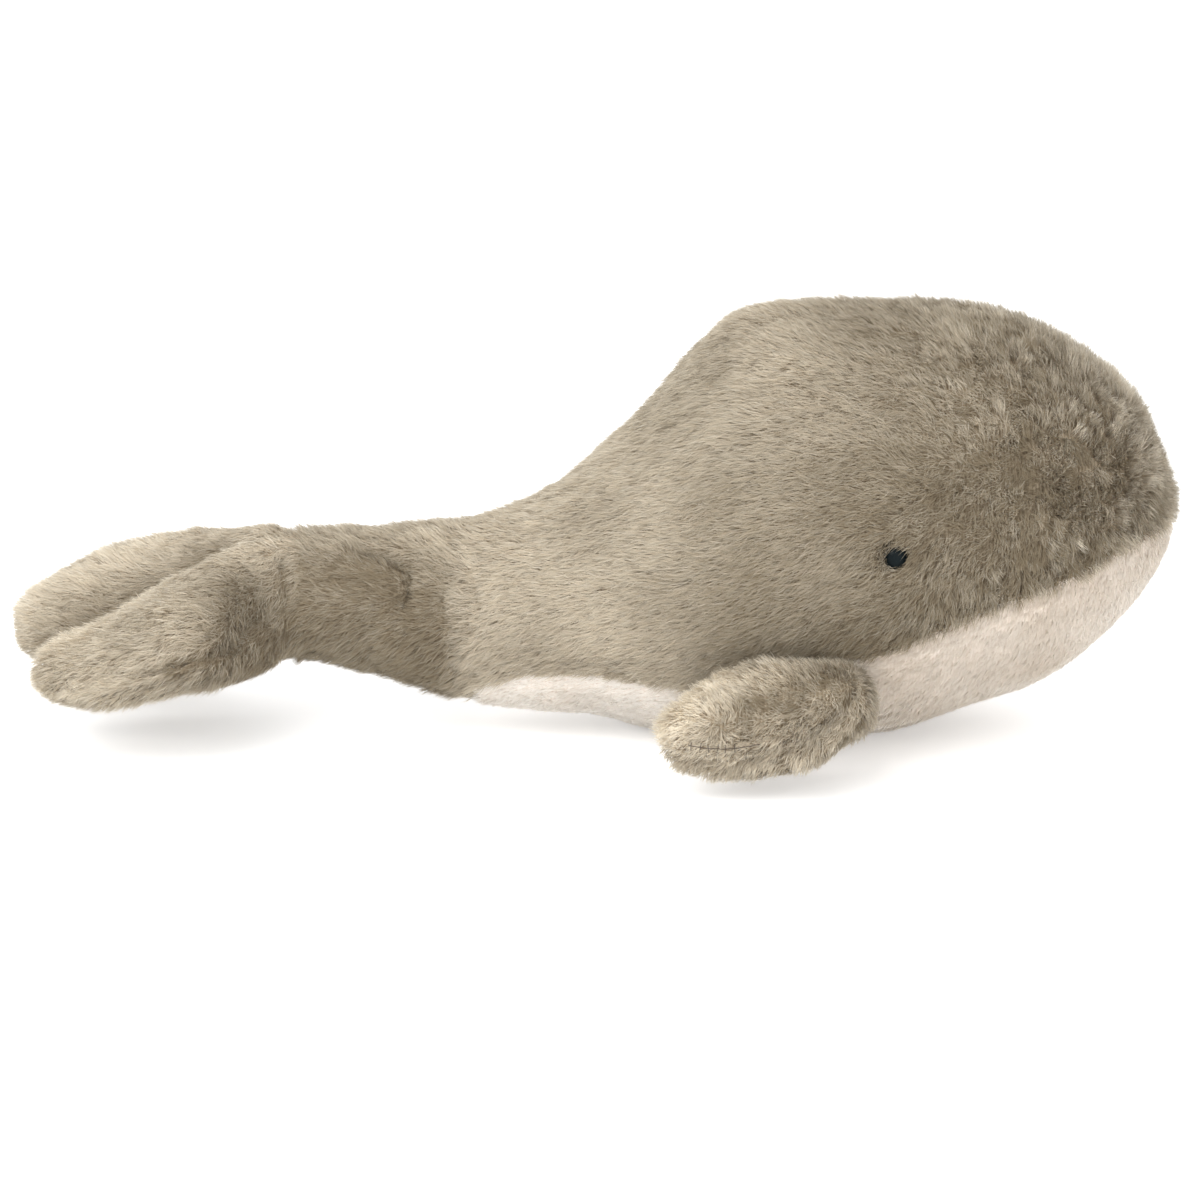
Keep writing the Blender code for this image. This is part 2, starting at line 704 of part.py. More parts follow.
def make_flukes(tail_hinge):
    """Two lobes sewn from one top and one bottom panel, round one filling."""
    axis = Vector((FLUKE_AXIS_X, 0, FLUKE_AXIS_Z))
    hinge = joint_empty("fluke_lift_axis", axis)
    hinge.parent = tail_hinge
    hinge.location = axis - tail_hinge.location
    place = Matrix.Rotation(-math.radians(FLUKE_DROOP_DEG), 4, "Y")
    inset = FLUKE_PANEL_THICKNESS
    for name, side in (("fluke_top_panel", 1), ("fluke_bottom_panel", -1)):
        sewn_panel(
            name,
            (PAD_ROWS, PAD_COLUMNS),
            lambda row, column, side=side: fluke_point(row, column, side, 0, SEAM_GAP / 2),
            lambda row, column, side=side: fluke_point(row, column, side, inset, SEAM_GAP / 2),
            TAUPE,
            None,
            Matrix.Translation(axis) @ place,
            mirrored=True,
        )
    pad_filling(
        "fluke_filling",
        lambda row, column, side: fluke_point(row, column, side, inset + PAD_FIT_GAP, 0),
        FIBRE,
        None,
        Matrix.Translation(axis) @ place,
        mirrored=True,
    )


def fin_point(row, column, side, inset, gap):
    """A point on a fin's face: row from its front to its tip, column from its root to its outer seam."""
    width = FIN_ROOT_RADIUS + FIN_REACH
    back = FIN_LENGTH / 2 - (FIN_LENGTH / 2 - inset) * math.cos(math.pi * row)
    steps = len(FIN_STATION_SHARES) - 1
    stations = [(i / steps, *shares) for i, shares in enumerate(FIN_STATION_SHARES)]
    inner, outer, height = interpolate(stations, row)
    low, high = inner * width, outer * width
    middle = (low + high) / 2
    half = (high - low) / 2 - inset * min(1.0, (high - low) / FIN_EDGE_WIDTH)
    full = FIN_TOP_HEIGHT if side > 0 else FIN_BOTTOM_HEIGHT
    rise = height * (full - inset) * dome(column, FIN_CREST_SHARE, 0, FIN_NECK_SHARE)
    across = middle - half + 2 * half * column - FIN_ROOT_RADIUS
    return Vector((FIN_FRONT_X - back, across, side * (rise + gap)))


def fin_axis(hand):
    """The point on the flank's fin hinge: the fin's round root stands just off the side."""
    root = body_root_at(FIN_ROOT_X)
    turn = hand * FIN_ROOT_TURN_SHARE
    surface = body_point(root, turn)
    normal = normal_of(body_point, root, turn, Vector((FIN_ROOT_X, 0, BODY_HALF_HEIGHT)))
    normal.x = 0
    return surface + normal.normalized() * (FIN_ROOT_RADIUS + FIN_ROOT_GAP)


def make_fin(side_name, hand):
    """A fat oval pad: a top and a bottom panel round a filling, hinged along its root."""
    axis = fin_axis(hand)
    hinge = joint_empty(side_name + "_fin_flap_axis", axis)
    shift = Matrix.Translation(Vector((0, axis.y, axis.z)))
    droop = Matrix.Rotation(-hand * math.radians(FIN_DROOP_DEG), 4, "X")
    place = shift @ droop @ Matrix.Diagonal((1, hand, 1, 1))
    inset = FIN_PANEL_THICKNESS
    for name, side in (("top", 1), ("bottom", -1)):
        sewn_panel(
            side_name + "_fin_" + name + "_panel",
            (PAD_ROWS, PAD_COLUMNS),
            lambda row, column, side=side: fin_point(row, column, side, 0, SEAM_GAP / 2),
            lambda row, column, side=side: fin_point(row, column, side, inset, SEAM_GAP / 2),
            TAUPE,
            hinge,
            place,
        )
    pad_filling(
        side_name + "_fin_filling",
        lambda row, column, side: fin_point(row, column, side, inset + PAD_FIT_GAP, 0),
        FIBRE,
        hinge,
        place,
    )


for old in list(bpy.data.objects):
    bpy.data.objects.remove(old)
PARTS = collection("plush_whale")
CUTTERS = collection("cutters")

side_panels, body_stuffing = make_body()
for eye_side, eye_hand in (("left", 1), ("right", -1)):
    make_eye(eye_side, eye_hand, side_panels[eye_side], body_stuffing)
tail_axis = make_tail()
make_flukes(tail_axis)
for fin_side, fin_hand in (("left", 1), ("right", -1)):
    make_fin(fin_side, fin_hand)
bpy.context.view_layer.update()
print("tail sway axis", [round(value, 5) for value in tail_axis.location])
print("fluke lift axis", round(FLUKE_AXIS_X, 5), round(FLUKE_AXIS_Z, 5))
print("fin flap axes", [[round(value, 5) for value in fin_axis(hand)] for hand in (1, -1)])
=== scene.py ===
# %% [markdown]
# A plush whale, dressed for its portrait. The CAD frame gives the sewn panels as plain solids.
# This lesson lays a fabric backing over them and then grows the pile, because a combed pile is
# what makes the toy: every tuft is real geometry, and its colour runs from a dark root, partly
# painted shade deep in the pile, to a pale tip.

import json
import math

import bmesh
import bpy
import numpy as np
from mathutils import Matrix, Vector
from mathutils.bvhtree import BVHTree
from mathutils.kdtree import KDTree


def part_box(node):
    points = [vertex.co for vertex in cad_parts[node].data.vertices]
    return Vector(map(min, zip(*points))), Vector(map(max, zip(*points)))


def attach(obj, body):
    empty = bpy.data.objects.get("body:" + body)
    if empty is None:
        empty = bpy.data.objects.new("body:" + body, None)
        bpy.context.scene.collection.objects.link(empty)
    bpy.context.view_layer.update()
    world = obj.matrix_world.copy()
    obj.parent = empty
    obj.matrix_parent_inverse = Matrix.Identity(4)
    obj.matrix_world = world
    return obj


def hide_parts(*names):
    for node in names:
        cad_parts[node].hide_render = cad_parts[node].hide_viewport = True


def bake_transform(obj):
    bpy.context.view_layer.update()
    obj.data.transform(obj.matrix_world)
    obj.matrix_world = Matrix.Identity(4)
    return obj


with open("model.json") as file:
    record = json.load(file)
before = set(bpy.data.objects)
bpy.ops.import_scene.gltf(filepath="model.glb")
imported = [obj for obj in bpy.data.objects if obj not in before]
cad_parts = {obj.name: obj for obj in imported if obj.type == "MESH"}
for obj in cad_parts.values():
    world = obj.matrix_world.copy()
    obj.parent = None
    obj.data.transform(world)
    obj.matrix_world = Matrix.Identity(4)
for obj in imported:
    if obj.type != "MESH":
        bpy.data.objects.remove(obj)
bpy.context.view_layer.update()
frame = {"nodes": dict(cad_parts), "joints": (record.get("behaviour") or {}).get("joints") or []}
MM = 0.001
scene = bpy.context.scene

# %% [markdown]
# The camera comes first. The toy was photographed from its right side and a little above, with a
# long lens: its far side hardly shrinks. The picture is also turned a little, so that the head
# hangs lower than the tail.

# %% Camera
CAMERA_AZIMUTH = math.radians(-5)
CAMERA_ELEVATION = math.radians(16)
CAMERA_ROLL = math.radians(1.4)
CAMERA_DISTANCE = 1.55
FILM_WIDTH_AT_WHALE = 0.4128
AIM = Vector((0.0008, 0.0, 0.0453))

toward_camera = Vector(
    (
        math.sin(CAMERA_AZIMUTH) * math.cos(CAMERA_ELEVATION),
        -math.cos(CAMERA_AZIMUTH) * math.cos(CAMERA_ELEVATION),
        math.sin(CAMERA_ELEVATION),
    )
)
camera = bpy.data.objects.new("camera", bpy.data.cameras.new("camera"))
camera.data.sensor_width = 36
camera.data.lens = camera.data.sensor_width * CAMERA_DISTANCE / FILM_WIDTH_AT_WHALE
camera.rotation_euler = (
    toward_camera.to_track_quat("Z", "Y").to_matrix() @ Matrix.Rotation(CAMERA_ROLL, 3, "Z")
).to_euler()
camera.location = AIM + toward_camera * CAMERA_DISTANCE
scene.collection.objects.link(camera)
scene.camera = camera
print("lens", round(camera.data.lens, 1), "mm")

# %% [markdown]
# Shader maths reads best as plain expressions. This small class wraps a socket, so that tone * 2 +
# 1 adds its Math nodes by itself, and one method makes every other kind of node.


# %% Shader expressions
class Socket:
    def __init__(self, tree, socket):
        self.tree, self.socket = tree, socket

    def node(self, kind, settings=None, outputs=0, **inputs):
        made = self.tree.nodes.new(kind)
        for key, value in (settings or {}).items():
            setattr(made, key, value)
        for key, value in inputs.items():
            place = made.inputs[int(key[1:])] if key[0] == "i" and key[1:].isdigit() else None
            place = place or made.inputs[key.replace("_", " ")]
            if isinstance(value, Socket):
                self.tree.links.new(value.socket, place)
            else:
                place.default_value = value
        return Socket(self.tree, made.outputs[outputs])

    def maths(self, operation, one, two):
        return self.node("ShaderNodeMath", {"operation": operation}, i0=one, i1=two)

    def __add__(self, other):
        return self.maths("ADD", self, other)

    def __mul__(self, other):
        return self.maths("MULTIPLY", self, other)

    def __rsub__(self, other):
        return self.maths("SUBTRACT", other, self)

    def __pow__(self, other):
        return self.maths("POWER", self, other)

    __radd__, __rmul__ = __add__, __mul__

    def mixed(self, one, two):
        """Goes from one colour to the other as this value goes from 0 to 1."""
        return self.node(
            "ShaderNodeMix", {"data_type": "RGBA"}, 2, i0=self, i6=one, i7=two
        )


def new_material(name, roughness, **constants):
    """A material, a socket to start expressions from, and a way to link its shader."""
    made = bpy.data.materials.new(name)
    made.use_nodes = True
    shader = made.node_tree.nodes["Principled BSDF"]
    shader.inputs["Roughness"].default_value = roughness
    for key, value in constants.items():
        shader.inputs[key.replace("_", " ")].default_value = value
    start = Socket(made.node_tree, None)

    def feed(name_of_input, value):
        made.node_tree.links.new(value.socket, shader.inputs[name_of_input])

    return made, start, feed


def colour(red, green, blue):
    """A colour from its 0 to 255 screen values, as the linear light that shaders use."""
    linear = [
        (v / 255 / 12.92) if v <= 10 else ((v / 255 + 0.055) / 1.055) ** 2.4
        for v in (red, green, blue)
    ]
    return (*linear, 1.0)


# %% [markdown]
# Every tuft carries its own map: across it runs the tuft's tone, and up it runs the way from root
# to tip. The pile's colour is worked out from that map alone, as a blend between four corner
# colours, so one material gives each tuft its own shade and a dark root, which is partly the
# fibres' own colour and partly painted shade deep in the pile. Thin fibres also let light through,
# which keeps the gaps between the tufts soft and the outline pale.

# %% Materials of the pile
THROUGH_SHARE = 0.5
# How fast the colour rises from the dark root, partly the fibres' own colour and partly painted
# shade deep in the pile, to the pale tip
ROOT_DARKNESS = 0.7
WARMTH_CHANGES = 260


def pile_material(name, dark_root, dark_tip, pale_root, pale_tip, warm):
    made, start, feed = new_material(
        name, 0.8, Specular_IOR_Level=0.25, Sheen_Weight=0.2, Sheen_Roughness=0.4
    )
    place = start.node("ShaderNodeUVMap", {"uv_map": "OFBake"})
    parts = place.tree.nodes.new("ShaderNodeSeparateXYZ")
    place.tree.links.new(place.socket, parts.inputs[0])
    tone, height = (Socket(place.tree, parts.outputs[k]) for k in (0, 1))
    up = height**ROOT_DARKNESS
    shade = tone.mixed(up.mixed(dark_root, dark_tip), up.mixed(pale_root, pale_tip))
    chance = tone.maths("SINE", tone * WARMTH_CHANGES, 0) * 0.5 + 0.5
    settings = {"data_type": "RGBA", "blend_type": "MULTIPLY"}
    shade = start.node("ShaderNodeMix", settings, 2, i0=chance, i6=shade, i7=warm)
    feed("Base Color", shade)
    through = start.node("ShaderNodeBsdfTranslucent", Color=shade)
    surface = made.node_tree.nodes["Principled BSDF"]
    both = made.node_tree.nodes.new("ShaderNodeMixShader")
    both.inputs[0].default_value = THROUGH_SHARE
    output = made.node_tree.nodes["Material Output"]
    made.node_tree.links.new(surface.outputs[0], both.inputs[1])
    made.node_tree.links.new(through.socket, both.inputs[2])
    made.node_tree.links.new(both.outputs[0], output.inputs[0])
    return made


TAUPE_PILE = pile_material(
    "taupe_pile",
    colour(127, 114, 93),
    colour(166, 155, 134),
    colour(222, 211, 194),
    colour(250, 245, 231),
    (1.0, 0.955, 0.90, 1),
)
CREAM_PILE = pile_material(
    "cream_pile",
    colour(213, 202, 187),
    colour(221, 211, 197),
    colour(246, 242, 236),
    colour(252, 250, 246),
    (1.0, 0.992, 0.98, 1),
)


def knit_material(name, shade, gap_shade):
    """The knitted backing that the pile grows from."""
    made, start, feed = new_material(name, 0.9)
    place = start.node("ShaderNodeTexCoord", outputs=3)
    bands = {"wave_type": "BANDS"}
    rows = start.node("ShaderNodeTexWave", bands, 1, Vector=place, Scale=260.0, Distortion=2.0)
    feed("Base Color", rows.mixed(gap_shade, shade))
    return made


# The taupe backing is darker than the pile's tips, partly as painted shade between the tufts
TAUPE_KNIT = knit_material("taupe_knit", colour(156, 143, 122), colour(126, 113, 93))
CREAM_KNIT = knit_material("cream_knit", colour(242, 234, 226), colour(228, 216, 206))
print("materials", [material.name for material in (TAUPE_PILE, CREAM_PILE, TAUPE_KNIT, CREAM_KNIT)])

# %% [markdown]
# The backing is the toy's real skin, so it is made from the CAD panels themselves: they are copied
# into one mesh, remeshed into one closed shell and smoothed as a stuffed skin is. One shell goes
# from the nose to the fluke tips, and is cut into its skins afterwards, so that they meet at their
# seams.

# %% Joining the panels into shells
BODY_PANELS = ("left_side_panel", "right_side_panel", "belly_panel")
TAIL_NODES = ("tail_left_panel", "tail_right_panel", "tail_filling")
FLUKE_NODES = ("fluke_top_panel", "fluke_bottom_panel", "fluke_filling")
HANDS = {"left": 1, "right": -1}
FIN_NODES = {
    side: [f"{side}_fin_{part}" for part in ("top_panel", "bottom_panel", "filling")]
    for side in HANDS
}
WHALE_VOXEL, FIN_VOXEL = 2 * MM, 1.5 * MM
# The cross seams, where the skin needs more smoothing: within what reach, and how many times
BODY_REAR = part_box("left_side_panel")[0].x
TAIL_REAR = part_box("tail_left_panel")[0].x
CROSS_SEAMS = ((BODY_REAR, 24 * MM, 70), (TAIL_REAR, 9 * MM, 16))


def remeshed(name, nodes, voxel):
    """One closed shell round some CAD nodes."""
    joined = bmesh.new()
    for node in nodes:
        joined.from_mesh(frame["nodes"][node].data)
    mesh = bpy.data.meshes.new(name)
    joined.to_mesh(mesh)
    joined.free()
    thing = bpy.data.objects.new(name, mesh)
    scene.collection.objects.link(thing)
    remesh = thing.modifiers.new("remesh", "REMESH")
    remesh.mode = "VOXEL"
    remesh.voxel_size = voxel
    bpy.context.view_layer.update()
    shell = bmesh.new()
    shell.from_object(thing, bpy.context.evaluated_depsgraph_get())
    bpy.data.objects.remove(thing)
    return shell


def smooth(shell, times, members=None):
    for _ in range(times):
        bmesh.ops.smooth_vert(
            shell,
            verts=members or shell.verts[:],
            factor=0.5,
            use_axis_x=True,
            use_axis_y=True,
            use_axis_z=True,
        )
    shell.normal_update()


whale_nodes = (*BODY_PANELS, "body_filling", *TAIL_NODES, *FLUKE_NODES)
whale = remeshed("whale", whale_nodes, WHALE_VOXEL)
smooth(whale, 4)
for seam, reach, times in CROSS_SEAMS:
    smooth(whale, times, [v for v in whale.verts if abs(v.co.x - seam) < reach])
print("whale shell", len(whale.faces), "faces")

# %% [markdown]
# The pile needs to know which panel it grows on and how near a seam is. Both come from the CAD
# panels: a search tree finds the nearest panel of a point, and the panels' facing edges, sampled
# every millimetre, are the seams.


# %% Panels and seams
def tree_of(node):
    shell = bmesh.new()
    shell.from_mesh(frame["nodes"][node].data)
    made = BVHTree.FromBMesh(shell)
    shell.free()
    return made


PANEL_TREES = {node: tree_of(node) for node in frame["nodes"] if node.endswith("_panel")}


def seam_between(node, others, reach=0.6 * MM):
    """Points every millimetre along the edges of a panel that face one of the others."""
    mesh = frame["nodes"][node].data
    near = [
        any(PANEL_TREES[other].find_nearest(vertex.co, reach)[0] for other in others)
        for vertex in mesh.vertices
    ]
    points = []
    for edge in mesh.edges:
        one, two = edge.vertices
        if near[one] and near[two]:
            start, end = mesh.vertices[one].co, mesh.vertices[two].co
            count = max(1, int((end - start).length / MM))
            points += [start.lerp(end, i / count) for i in range(count + 1)]
    return points


def search_tree(points):
    tree = KDTree(len(points))
    for i, point in enumerate(points):
        tree.insert(point, i)
    tree.balance()
    return tree


def along(points, step=0.5 * MM):
    """Points a step apart along a line through some places given in millimetres."""
    places = [Vector(point) * MM for point in points]
    spread = []
    for start, end in zip(places, places[1:]):
        count = max(1, round((end - start).length / step))
        spread += [start.lerp(end, i / count) for i in range(count)]
    return spread + [places[-1]]


def mirrored(points, hand):
    """A line on the left side, or its mirror image on the right one."""
    return [Vector((x, y * hand, z)) for x, y, z in along(points)]


def rise(value, low, high):
    """0 below low, 1 above high, and a smooth rise between them, for one value."""
    share = min(1.0, max(0.0, (value - low) / (high - low)))
    return share * share * (3 - 2 * share)


def bump(gap, radius):
    """1 at no gap, and fading over about a radius given in millimetres, for one value."""
    return math.exp(-((gap / radius / MM) ** 2))


BODY_SEAMS_AT = seam_between("belly_panel", ("left_side_panel", "right_side_panel"))
BODY_SEAMS_AT += seam_between("left_side_panel", ("right_side_panel",))
BODY_SEAMS = search_tree(BODY_SEAMS_AT)
FLUKE_SEAM = (
    (-110, 27, 49.5),
    (-122.8, 43.5, 43.9),
    (-133.4, 55.9, 42),
    (-156, 59.9, 38.2),
    (-178, 55, 31),
)
FLUKE_SEAMS = search_tree(mirrored(FLUKE_SEAM, 1) + mirrored(FLUKE_SEAM, -1))
# The folds of the tail stock and the lines where its seams cut in, and how strong each is
UPPER_FOLD = (
    (-81.5, -11, 68),
    (-74, -14, 66),
    (-68, -17, 65),
    (-65, -19, 62),
    (-63.5, -23, 57),
    (-67, -26, 51),
)
LOWER_FOLD = ((-77.7, -26, 46), (-78.3, -24, 38), (-77, -20, 31), (-75, -11, 23))
BODY_LINE = ((-41.5, -20, 60), (-41.3, -26, 52), (-40.2, -31, 44), (-40.6, -30, 34), (-42, -20, 25))
TAIL_LINE = ((-50.5, -25, 56), (-51.5, -28, 46), (-50, -27, 35.5), (-49, -22, 26))
FLUKE_LINE = ((-107, -13, 64), (-106.5, -19, 58), (-106, -22, 51), (-106.5, -21, 42))
CREASES = (
    (2.2, UPPER_FOLD),
    (0.8, LOWER_FOLD),
    (0.5, BODY_LINE),
    (0.7, TAIL_LINE),
    (1.1, FLUKE_LINE),
)
CREASE_POINTS = [(point, weight) for weight, crease in CREASES for point in along(crease)]
CREASE_TREE = search_tree([point for point, _ in CREASE_POINTS])


def crease_at(place, reach=4 * MM):
    """How strongly a crease is felt at a place."""
    _, number, gap = CREASE_TREE.find(place)
    return CREASE_POINTS[number][1] * (1 - rise(gap, 0, reach))


print("seam and crease points", len(BODY_SEAMS_AT), len(CREASE_POINTS))

# %% [markdown]
# A stuffed skin isn't as even as its pattern. It is drawn in under the long pile, less so under
# the short pile of the belly, it folds into the creases of the tail stock, and it sinks at the
# seams.

# %% Drawing in the skin
DRAWN_IN = 2.2 * MM
BELLY_DRAWN_IN = 0.3 * MM
TAIL_UNDER_DRAWN_IN = 1.2 * MM
FLUKE_DRAWN_IN = 1.8 * MM
FLUKE_SEAM_DEPTH = 4.2 * MM
CREASE_DEPTH = 1.8 * MM
# Where hands have plumped the filling: a place, how far it swells, and over what radius
PLUMPED = (
    ((38, 0, 144), 3.6, 22),
    ((27, 0, 136), 0.3, 13),
    ((80, 0, 150), 1.2, 40),
    ((137, 0, 140), 1.3, 14),
    ((185, 0, 85), 1.2, 48),
    ((152, -30, 32), 2.2, 32),
    ((152, 30, 32), 2.2, 32),
    ((-52, 0, 72), 3.0, 15),
    ((-50, -12, 20), 3.6, 15),
    ((-50, 12, 20), 3.6, 15),
    ((-25, -14, 12), 1.5, 16),
    ((-25, 14, 12), 1.5, 16),
    ((8, -26, 4), -4.4, 22),
    ((8, 26, 4), -4.4, 22),
    ((86, -26, 4), -4.2, 22),
    ((86, 26, 4), -4.2, 22),
    ((-84, 0, 24), 2.0, 14),
    ((187, 0, 98), -1.4, 14),
    ((184, 0, 48), 1.4, 14),
    ((-106.5, 0, 65), 1.8, 6),
    ((-108, 0, 29), 2.4, 9),
    ((-120, 0, 66), 4.2, 15),
    ((-115, 0, 67), 0.9, 9),
    ((-133, 6, 66), 1.6, 13),
    ((-114, -26, 36), 3.6, 13),
    ((-152, -42, 26), -3.8, 17),
    ((-176, 34, 42), 2.6, 24),
    ((-196, -14, 33), 4.6, 11),
    ((-197, 22, 20), 3.5, 10),
)

for vertex in whale.verts:
    place = vertex.co
    if place.x < TAIL_REAR:
        gap = FLUKE_SEAMS.find(place)[2]
        depth = FLUKE_DRAWN_IN + FLUKE_SEAM_DEPTH * (1 - rise(gap, 0.5 * MM, 5 * MM))
    elif place.x < BODY_REAR:
        depth = DRAWN_IN + TAIL_UNDER_DRAWN_IN * (1 - rise(place.z, 20 * MM, 45 * MM))
    else:
        gaps = [PANEL_TREES[node].find_nearest(place)[3] for node in BODY_PANELS]
        share = rise(min(gaps[:2]) - gaps[2], 0.5 * MM, 8 * MM)
        depth = DRAWN_IN + (BELLY_DRAWN_IN - DRAWN_IN) * share
    depth += CREASE_DEPTH * crease_at(place)
    for where, swell, radius in PLUMPED:
        depth -= swell * MM * bump((place - Vector(where) * MM).length, radius)
    vertex.co = place - vertex.normal * depth
print("plumped places", len(PLUMPED))

# %% [markdown]
# The two lobes swell to both sides of a valley, which runs back from the fluke root to the notch.
# It never sinks through the thinner stuffing at the lobes' inner edges. The photographed lobes
# also hang a little to one side, so the near tip is lower and both are skewed.

# %% The valley between the lobes
DOWN = Vector((0, 0, -1))
VALLEY_DEPTH = 16 * MM
VALLEY_WIDTH = 6.5
VALLEY_DRIFT = 7 * MM
DEEPEST_SHARE = 0.55
RIDGE_HEIGHT = 2.5 * MM
RIDGE_PLACE = 22 * MM
RIDGE_WIDTH = 11
NEAR_TIP_DROP = 5 * MM
FLUKE_SKEW = 0.11
FLUKE_SHRINK = 0.035
stuffed = BVHTree.FromBMesh(whale)
for vertex in whale.verts:
    x, y, z = vertex.co
    back = 1 - rise(x, -138 * MM, -112 * MM)
    back *= rise(vertex.normal.z, -0.4, 0.2)
    middle = VALLEY_DRIFT * rise(-x, 125 * MM, 155 * MM)
    valley = bump(y - middle, VALLEY_WIDTH)
    ridge = bump(abs(y - middle) - RIDGE_PLACE, RIDGE_WIDTH)
    beneath = stuffed.ray_cast(vertex.co - vertex.normal * MM, DOWN)[3] if back > 0 else None
    depth = min(VALLEY_DEPTH * valley, DEEPEST_SHARE * (beneath or 0))
    vertex.co.z += (RIDGE_HEIGHT * ridge - depth) * back
    near_tip = (1 - rise(x, -188 * MM, -145 * MM)) * rise(-y, 2 * MM, 14 * MM)
    vertex.co.z -= NEAR_TIP_DROP * near_tip * rise(vertex.normal.z, -0.4, 0.3)
    behind = 1 - rise(x, -190 * MM, TAIL_REAR)
    vertex.co.x -= y * FLUKE_SKEW * behind + (x - TAIL_REAR) * FLUKE_SHRINK * behind
smooth(whale, 1)
print("whale skin from", round(min(v.co.z for v in whale.verts) / MM, 1), "mm up")

# %% [markdown]
# Each fin is a fat pad over a roll, with a groove between them. Further lines follow the stitches
# that close the fin and the seam that runs on from them.

# %% Shaping the fins
FIN_DRAWN_IN = DRAWN_IN * 0.8
GROOVE_DEPTH = 2.2 * MM
STITCH_DEPTH = 0.8 * MM
SEAM_LINE_DEPTH = 0.6 * MM
BULGE = 5.6 * MM
HIND_BULGE = 1.5 * MM
# The lines of a fin, as seen on the left one
FIN_GROOVE = (
    (17, 89, 17),
    (24, 91.5, 13.6),
    (32, 92.5, 12.6),
    (44, 92, 13.8),
    (52, 91, 16.6),
    (57.2, 90.5, 19.9),
    (68.5, 90.4, 25.7),
    (76.9, 89.7, 34.1),
    (83, 84.4, 38.9),
)
STITCH_LINE = (
    (22.5, 93.3, 22.9),
    (28.1, 94, 22.2),
    (33.7, 94.2, 21.9),
    (39.3, 94, 22.2),
    (46.2, 93.8, 23.4),
)
SEAM_LINE = ((46.2, 93.8, 23.4), (53.7, 93.1, 25.3), (62.5, 92.6, 28.5), (72.4, 90.9, 34.8))
# Where a fin's top and ends are pushed: along which axis, the place, how far, and over what radius
FIN_PUSHES = (
    (2, (62, 84, 48), 3.5, 16),
    (0, (88, 78, 40), -4, 13),
    (0, (6, 86, 22), -2, 12),
)


def on_both_fins(line):
    """A search tree for each fin, along a line of the left one and its mirror image."""
    return {side: search_tree(mirrored(line, hand)) for side, hand in HANDS.items()}


FIN_GROOVES, STITCHED, SEAMED = map(on_both_fins, (FIN_GROOVE, STITCH_LINE, SEAM_LINE))
FLAP_AXES = {
    side: Vector(next(j for j in frame["joints"] if j["name"] == side + "_fin_flap")["pos_m"])
    for side in HANDS
}


def below_groove(side, place):
    """How far a place is below the groove of its fin."""
    groove = FIN_GROOVES[side].find(place)[0]
    return (groove - Vector(place)).dot(Vector((0, 0.67 * HANDS[side], 0.74)))


fins = {side: remeshed(side + "_fin", FIN_NODES[side], FIN_VOXEL) for side in HANDS}
for side, hand in HANDS.items():
    smooth(fins[side], 3)
    for vertex in fins[side].verts:
        place = vertex.co.copy()
        gap = FIN_GROOVES[side].find(place)[2]
        reach = (place.y - FLAP_AXES[side].y) * hand
        below = below_groove(side, place)
        depth = FIN_DRAWN_IN + GROOVE_DEPTH * (1 - rise(gap, 0.5 * MM, 4 * MM))
        depth += STITCH_DEPTH * (1 - rise(STITCHED[side].find(place)[2], 0, 3 * MM))
        depth += SEAM_LINE_DEPTH * (1 - rise(SEAMED[side].find(place)[2], 0, 3 * MM))
        vertex.co = place - vertex.normal * depth
        swell = BULGE * rise(below, 0, 5 * MM) * rise(reach, 4 * MM, 14 * MM)
        swell *= 1 - rise(place.x, 62 * MM, 88 * MM)
        swell += HIND_BULGE * bump(place.x - 55 * MM, 16) * rise(below, 0, 5 * MM)
        vertex.co += Vector((-0.15, 0.45 * hand, -0.87)) * swell
        for axis, (x, y, z), push, radius in FIN_PUSHES:
            gap = (place - Vector((x, y * hand, z)) * MM).length
            vertex.co[axis] += push * MM * bump(gap, radius)
    smooth(fins[side], 2)
    print(side, "fin", len(fins[side].faces), "faces")


# %% [markdown]
# The whole shell is cut at the seams into the body's, the tail's and the flukes' skin. Each cut is
# filled, because a skin that is left open would show its inside when the toy bends.


# %% Cutting the skins
BELLY_TAPER = 9.5 * MM
TAPER_STRETCH = (-62 * MM, -20 * MM)


def finished_skin(name, shell, materials, front=None, rear=None):
    part = shell.copy()
    for place, outward in ((front, 1), (rear, -1)):
        if place is not None:
            bisected = bmesh.ops.bisect_plane(
                part,
                geom=part.verts[:] + part.edges[:] + part.faces[:],
                plane_co=(place, 0, 0),
                plane_no=(outward, 0, 0),
                clear_outer=True,
            )
            rim = [item for item in bisected["geom_cut"] if isinstance(item, bmesh.types.BMEdge)]
            bmesh.ops.holes_fill(part, edges=rim, sides=0)
    mesh = bpy.data.meshes.new(name)
    part.to_mesh(mesh)
    part.free()
    mesh.shade_smooth()
    for material in materials:
        mesh.materials.append(material)
    skin = bpy.data.objects.new(name, mesh)
    scene.collection.objects.link(skin)
    print(name, len(mesh.polygons), "faces")
    return skin


body_skin = finished_skin("body_skin", whale, (TAUPE_KNIT, CREAM_KNIT), rear=BODY_REAR)
tail_skin = finished_skin("tail_skin", whale, (TAUPE_KNIT,), front=BODY_REAR, rear=TAIL_REAR)
fluke_skin = finished_skin("fluke_skin", whale, (TAUPE_KNIT,), front=TAIL_REAR)
fin_skins = {side: finished_skin(side + "_fin_skin", fins[side], (TAUPE_KNIT,)) for side in fins}
for face in body_skin.data.polygons:
    near = [PANEL_TREES[node].find_nearest(face.center)[3] for node in BODY_PANELS]
    taper = BELLY_TAPER * (1 - rise(face.center.x, *TAPER_STRETCH))
    face.material_index = int(near[2] <= min(near[:2]) and BODY_SEAMS.find(face.center)[2] > taper)


# %% [markdown]
# Combing needs a few tools for many tufts at once. Waves of a few random directions add up to a
# soft random field, which turns and shades the tufts in patches, as hands and packing do to a real
# pile.


# %% Fields over many points
WAVES = 9


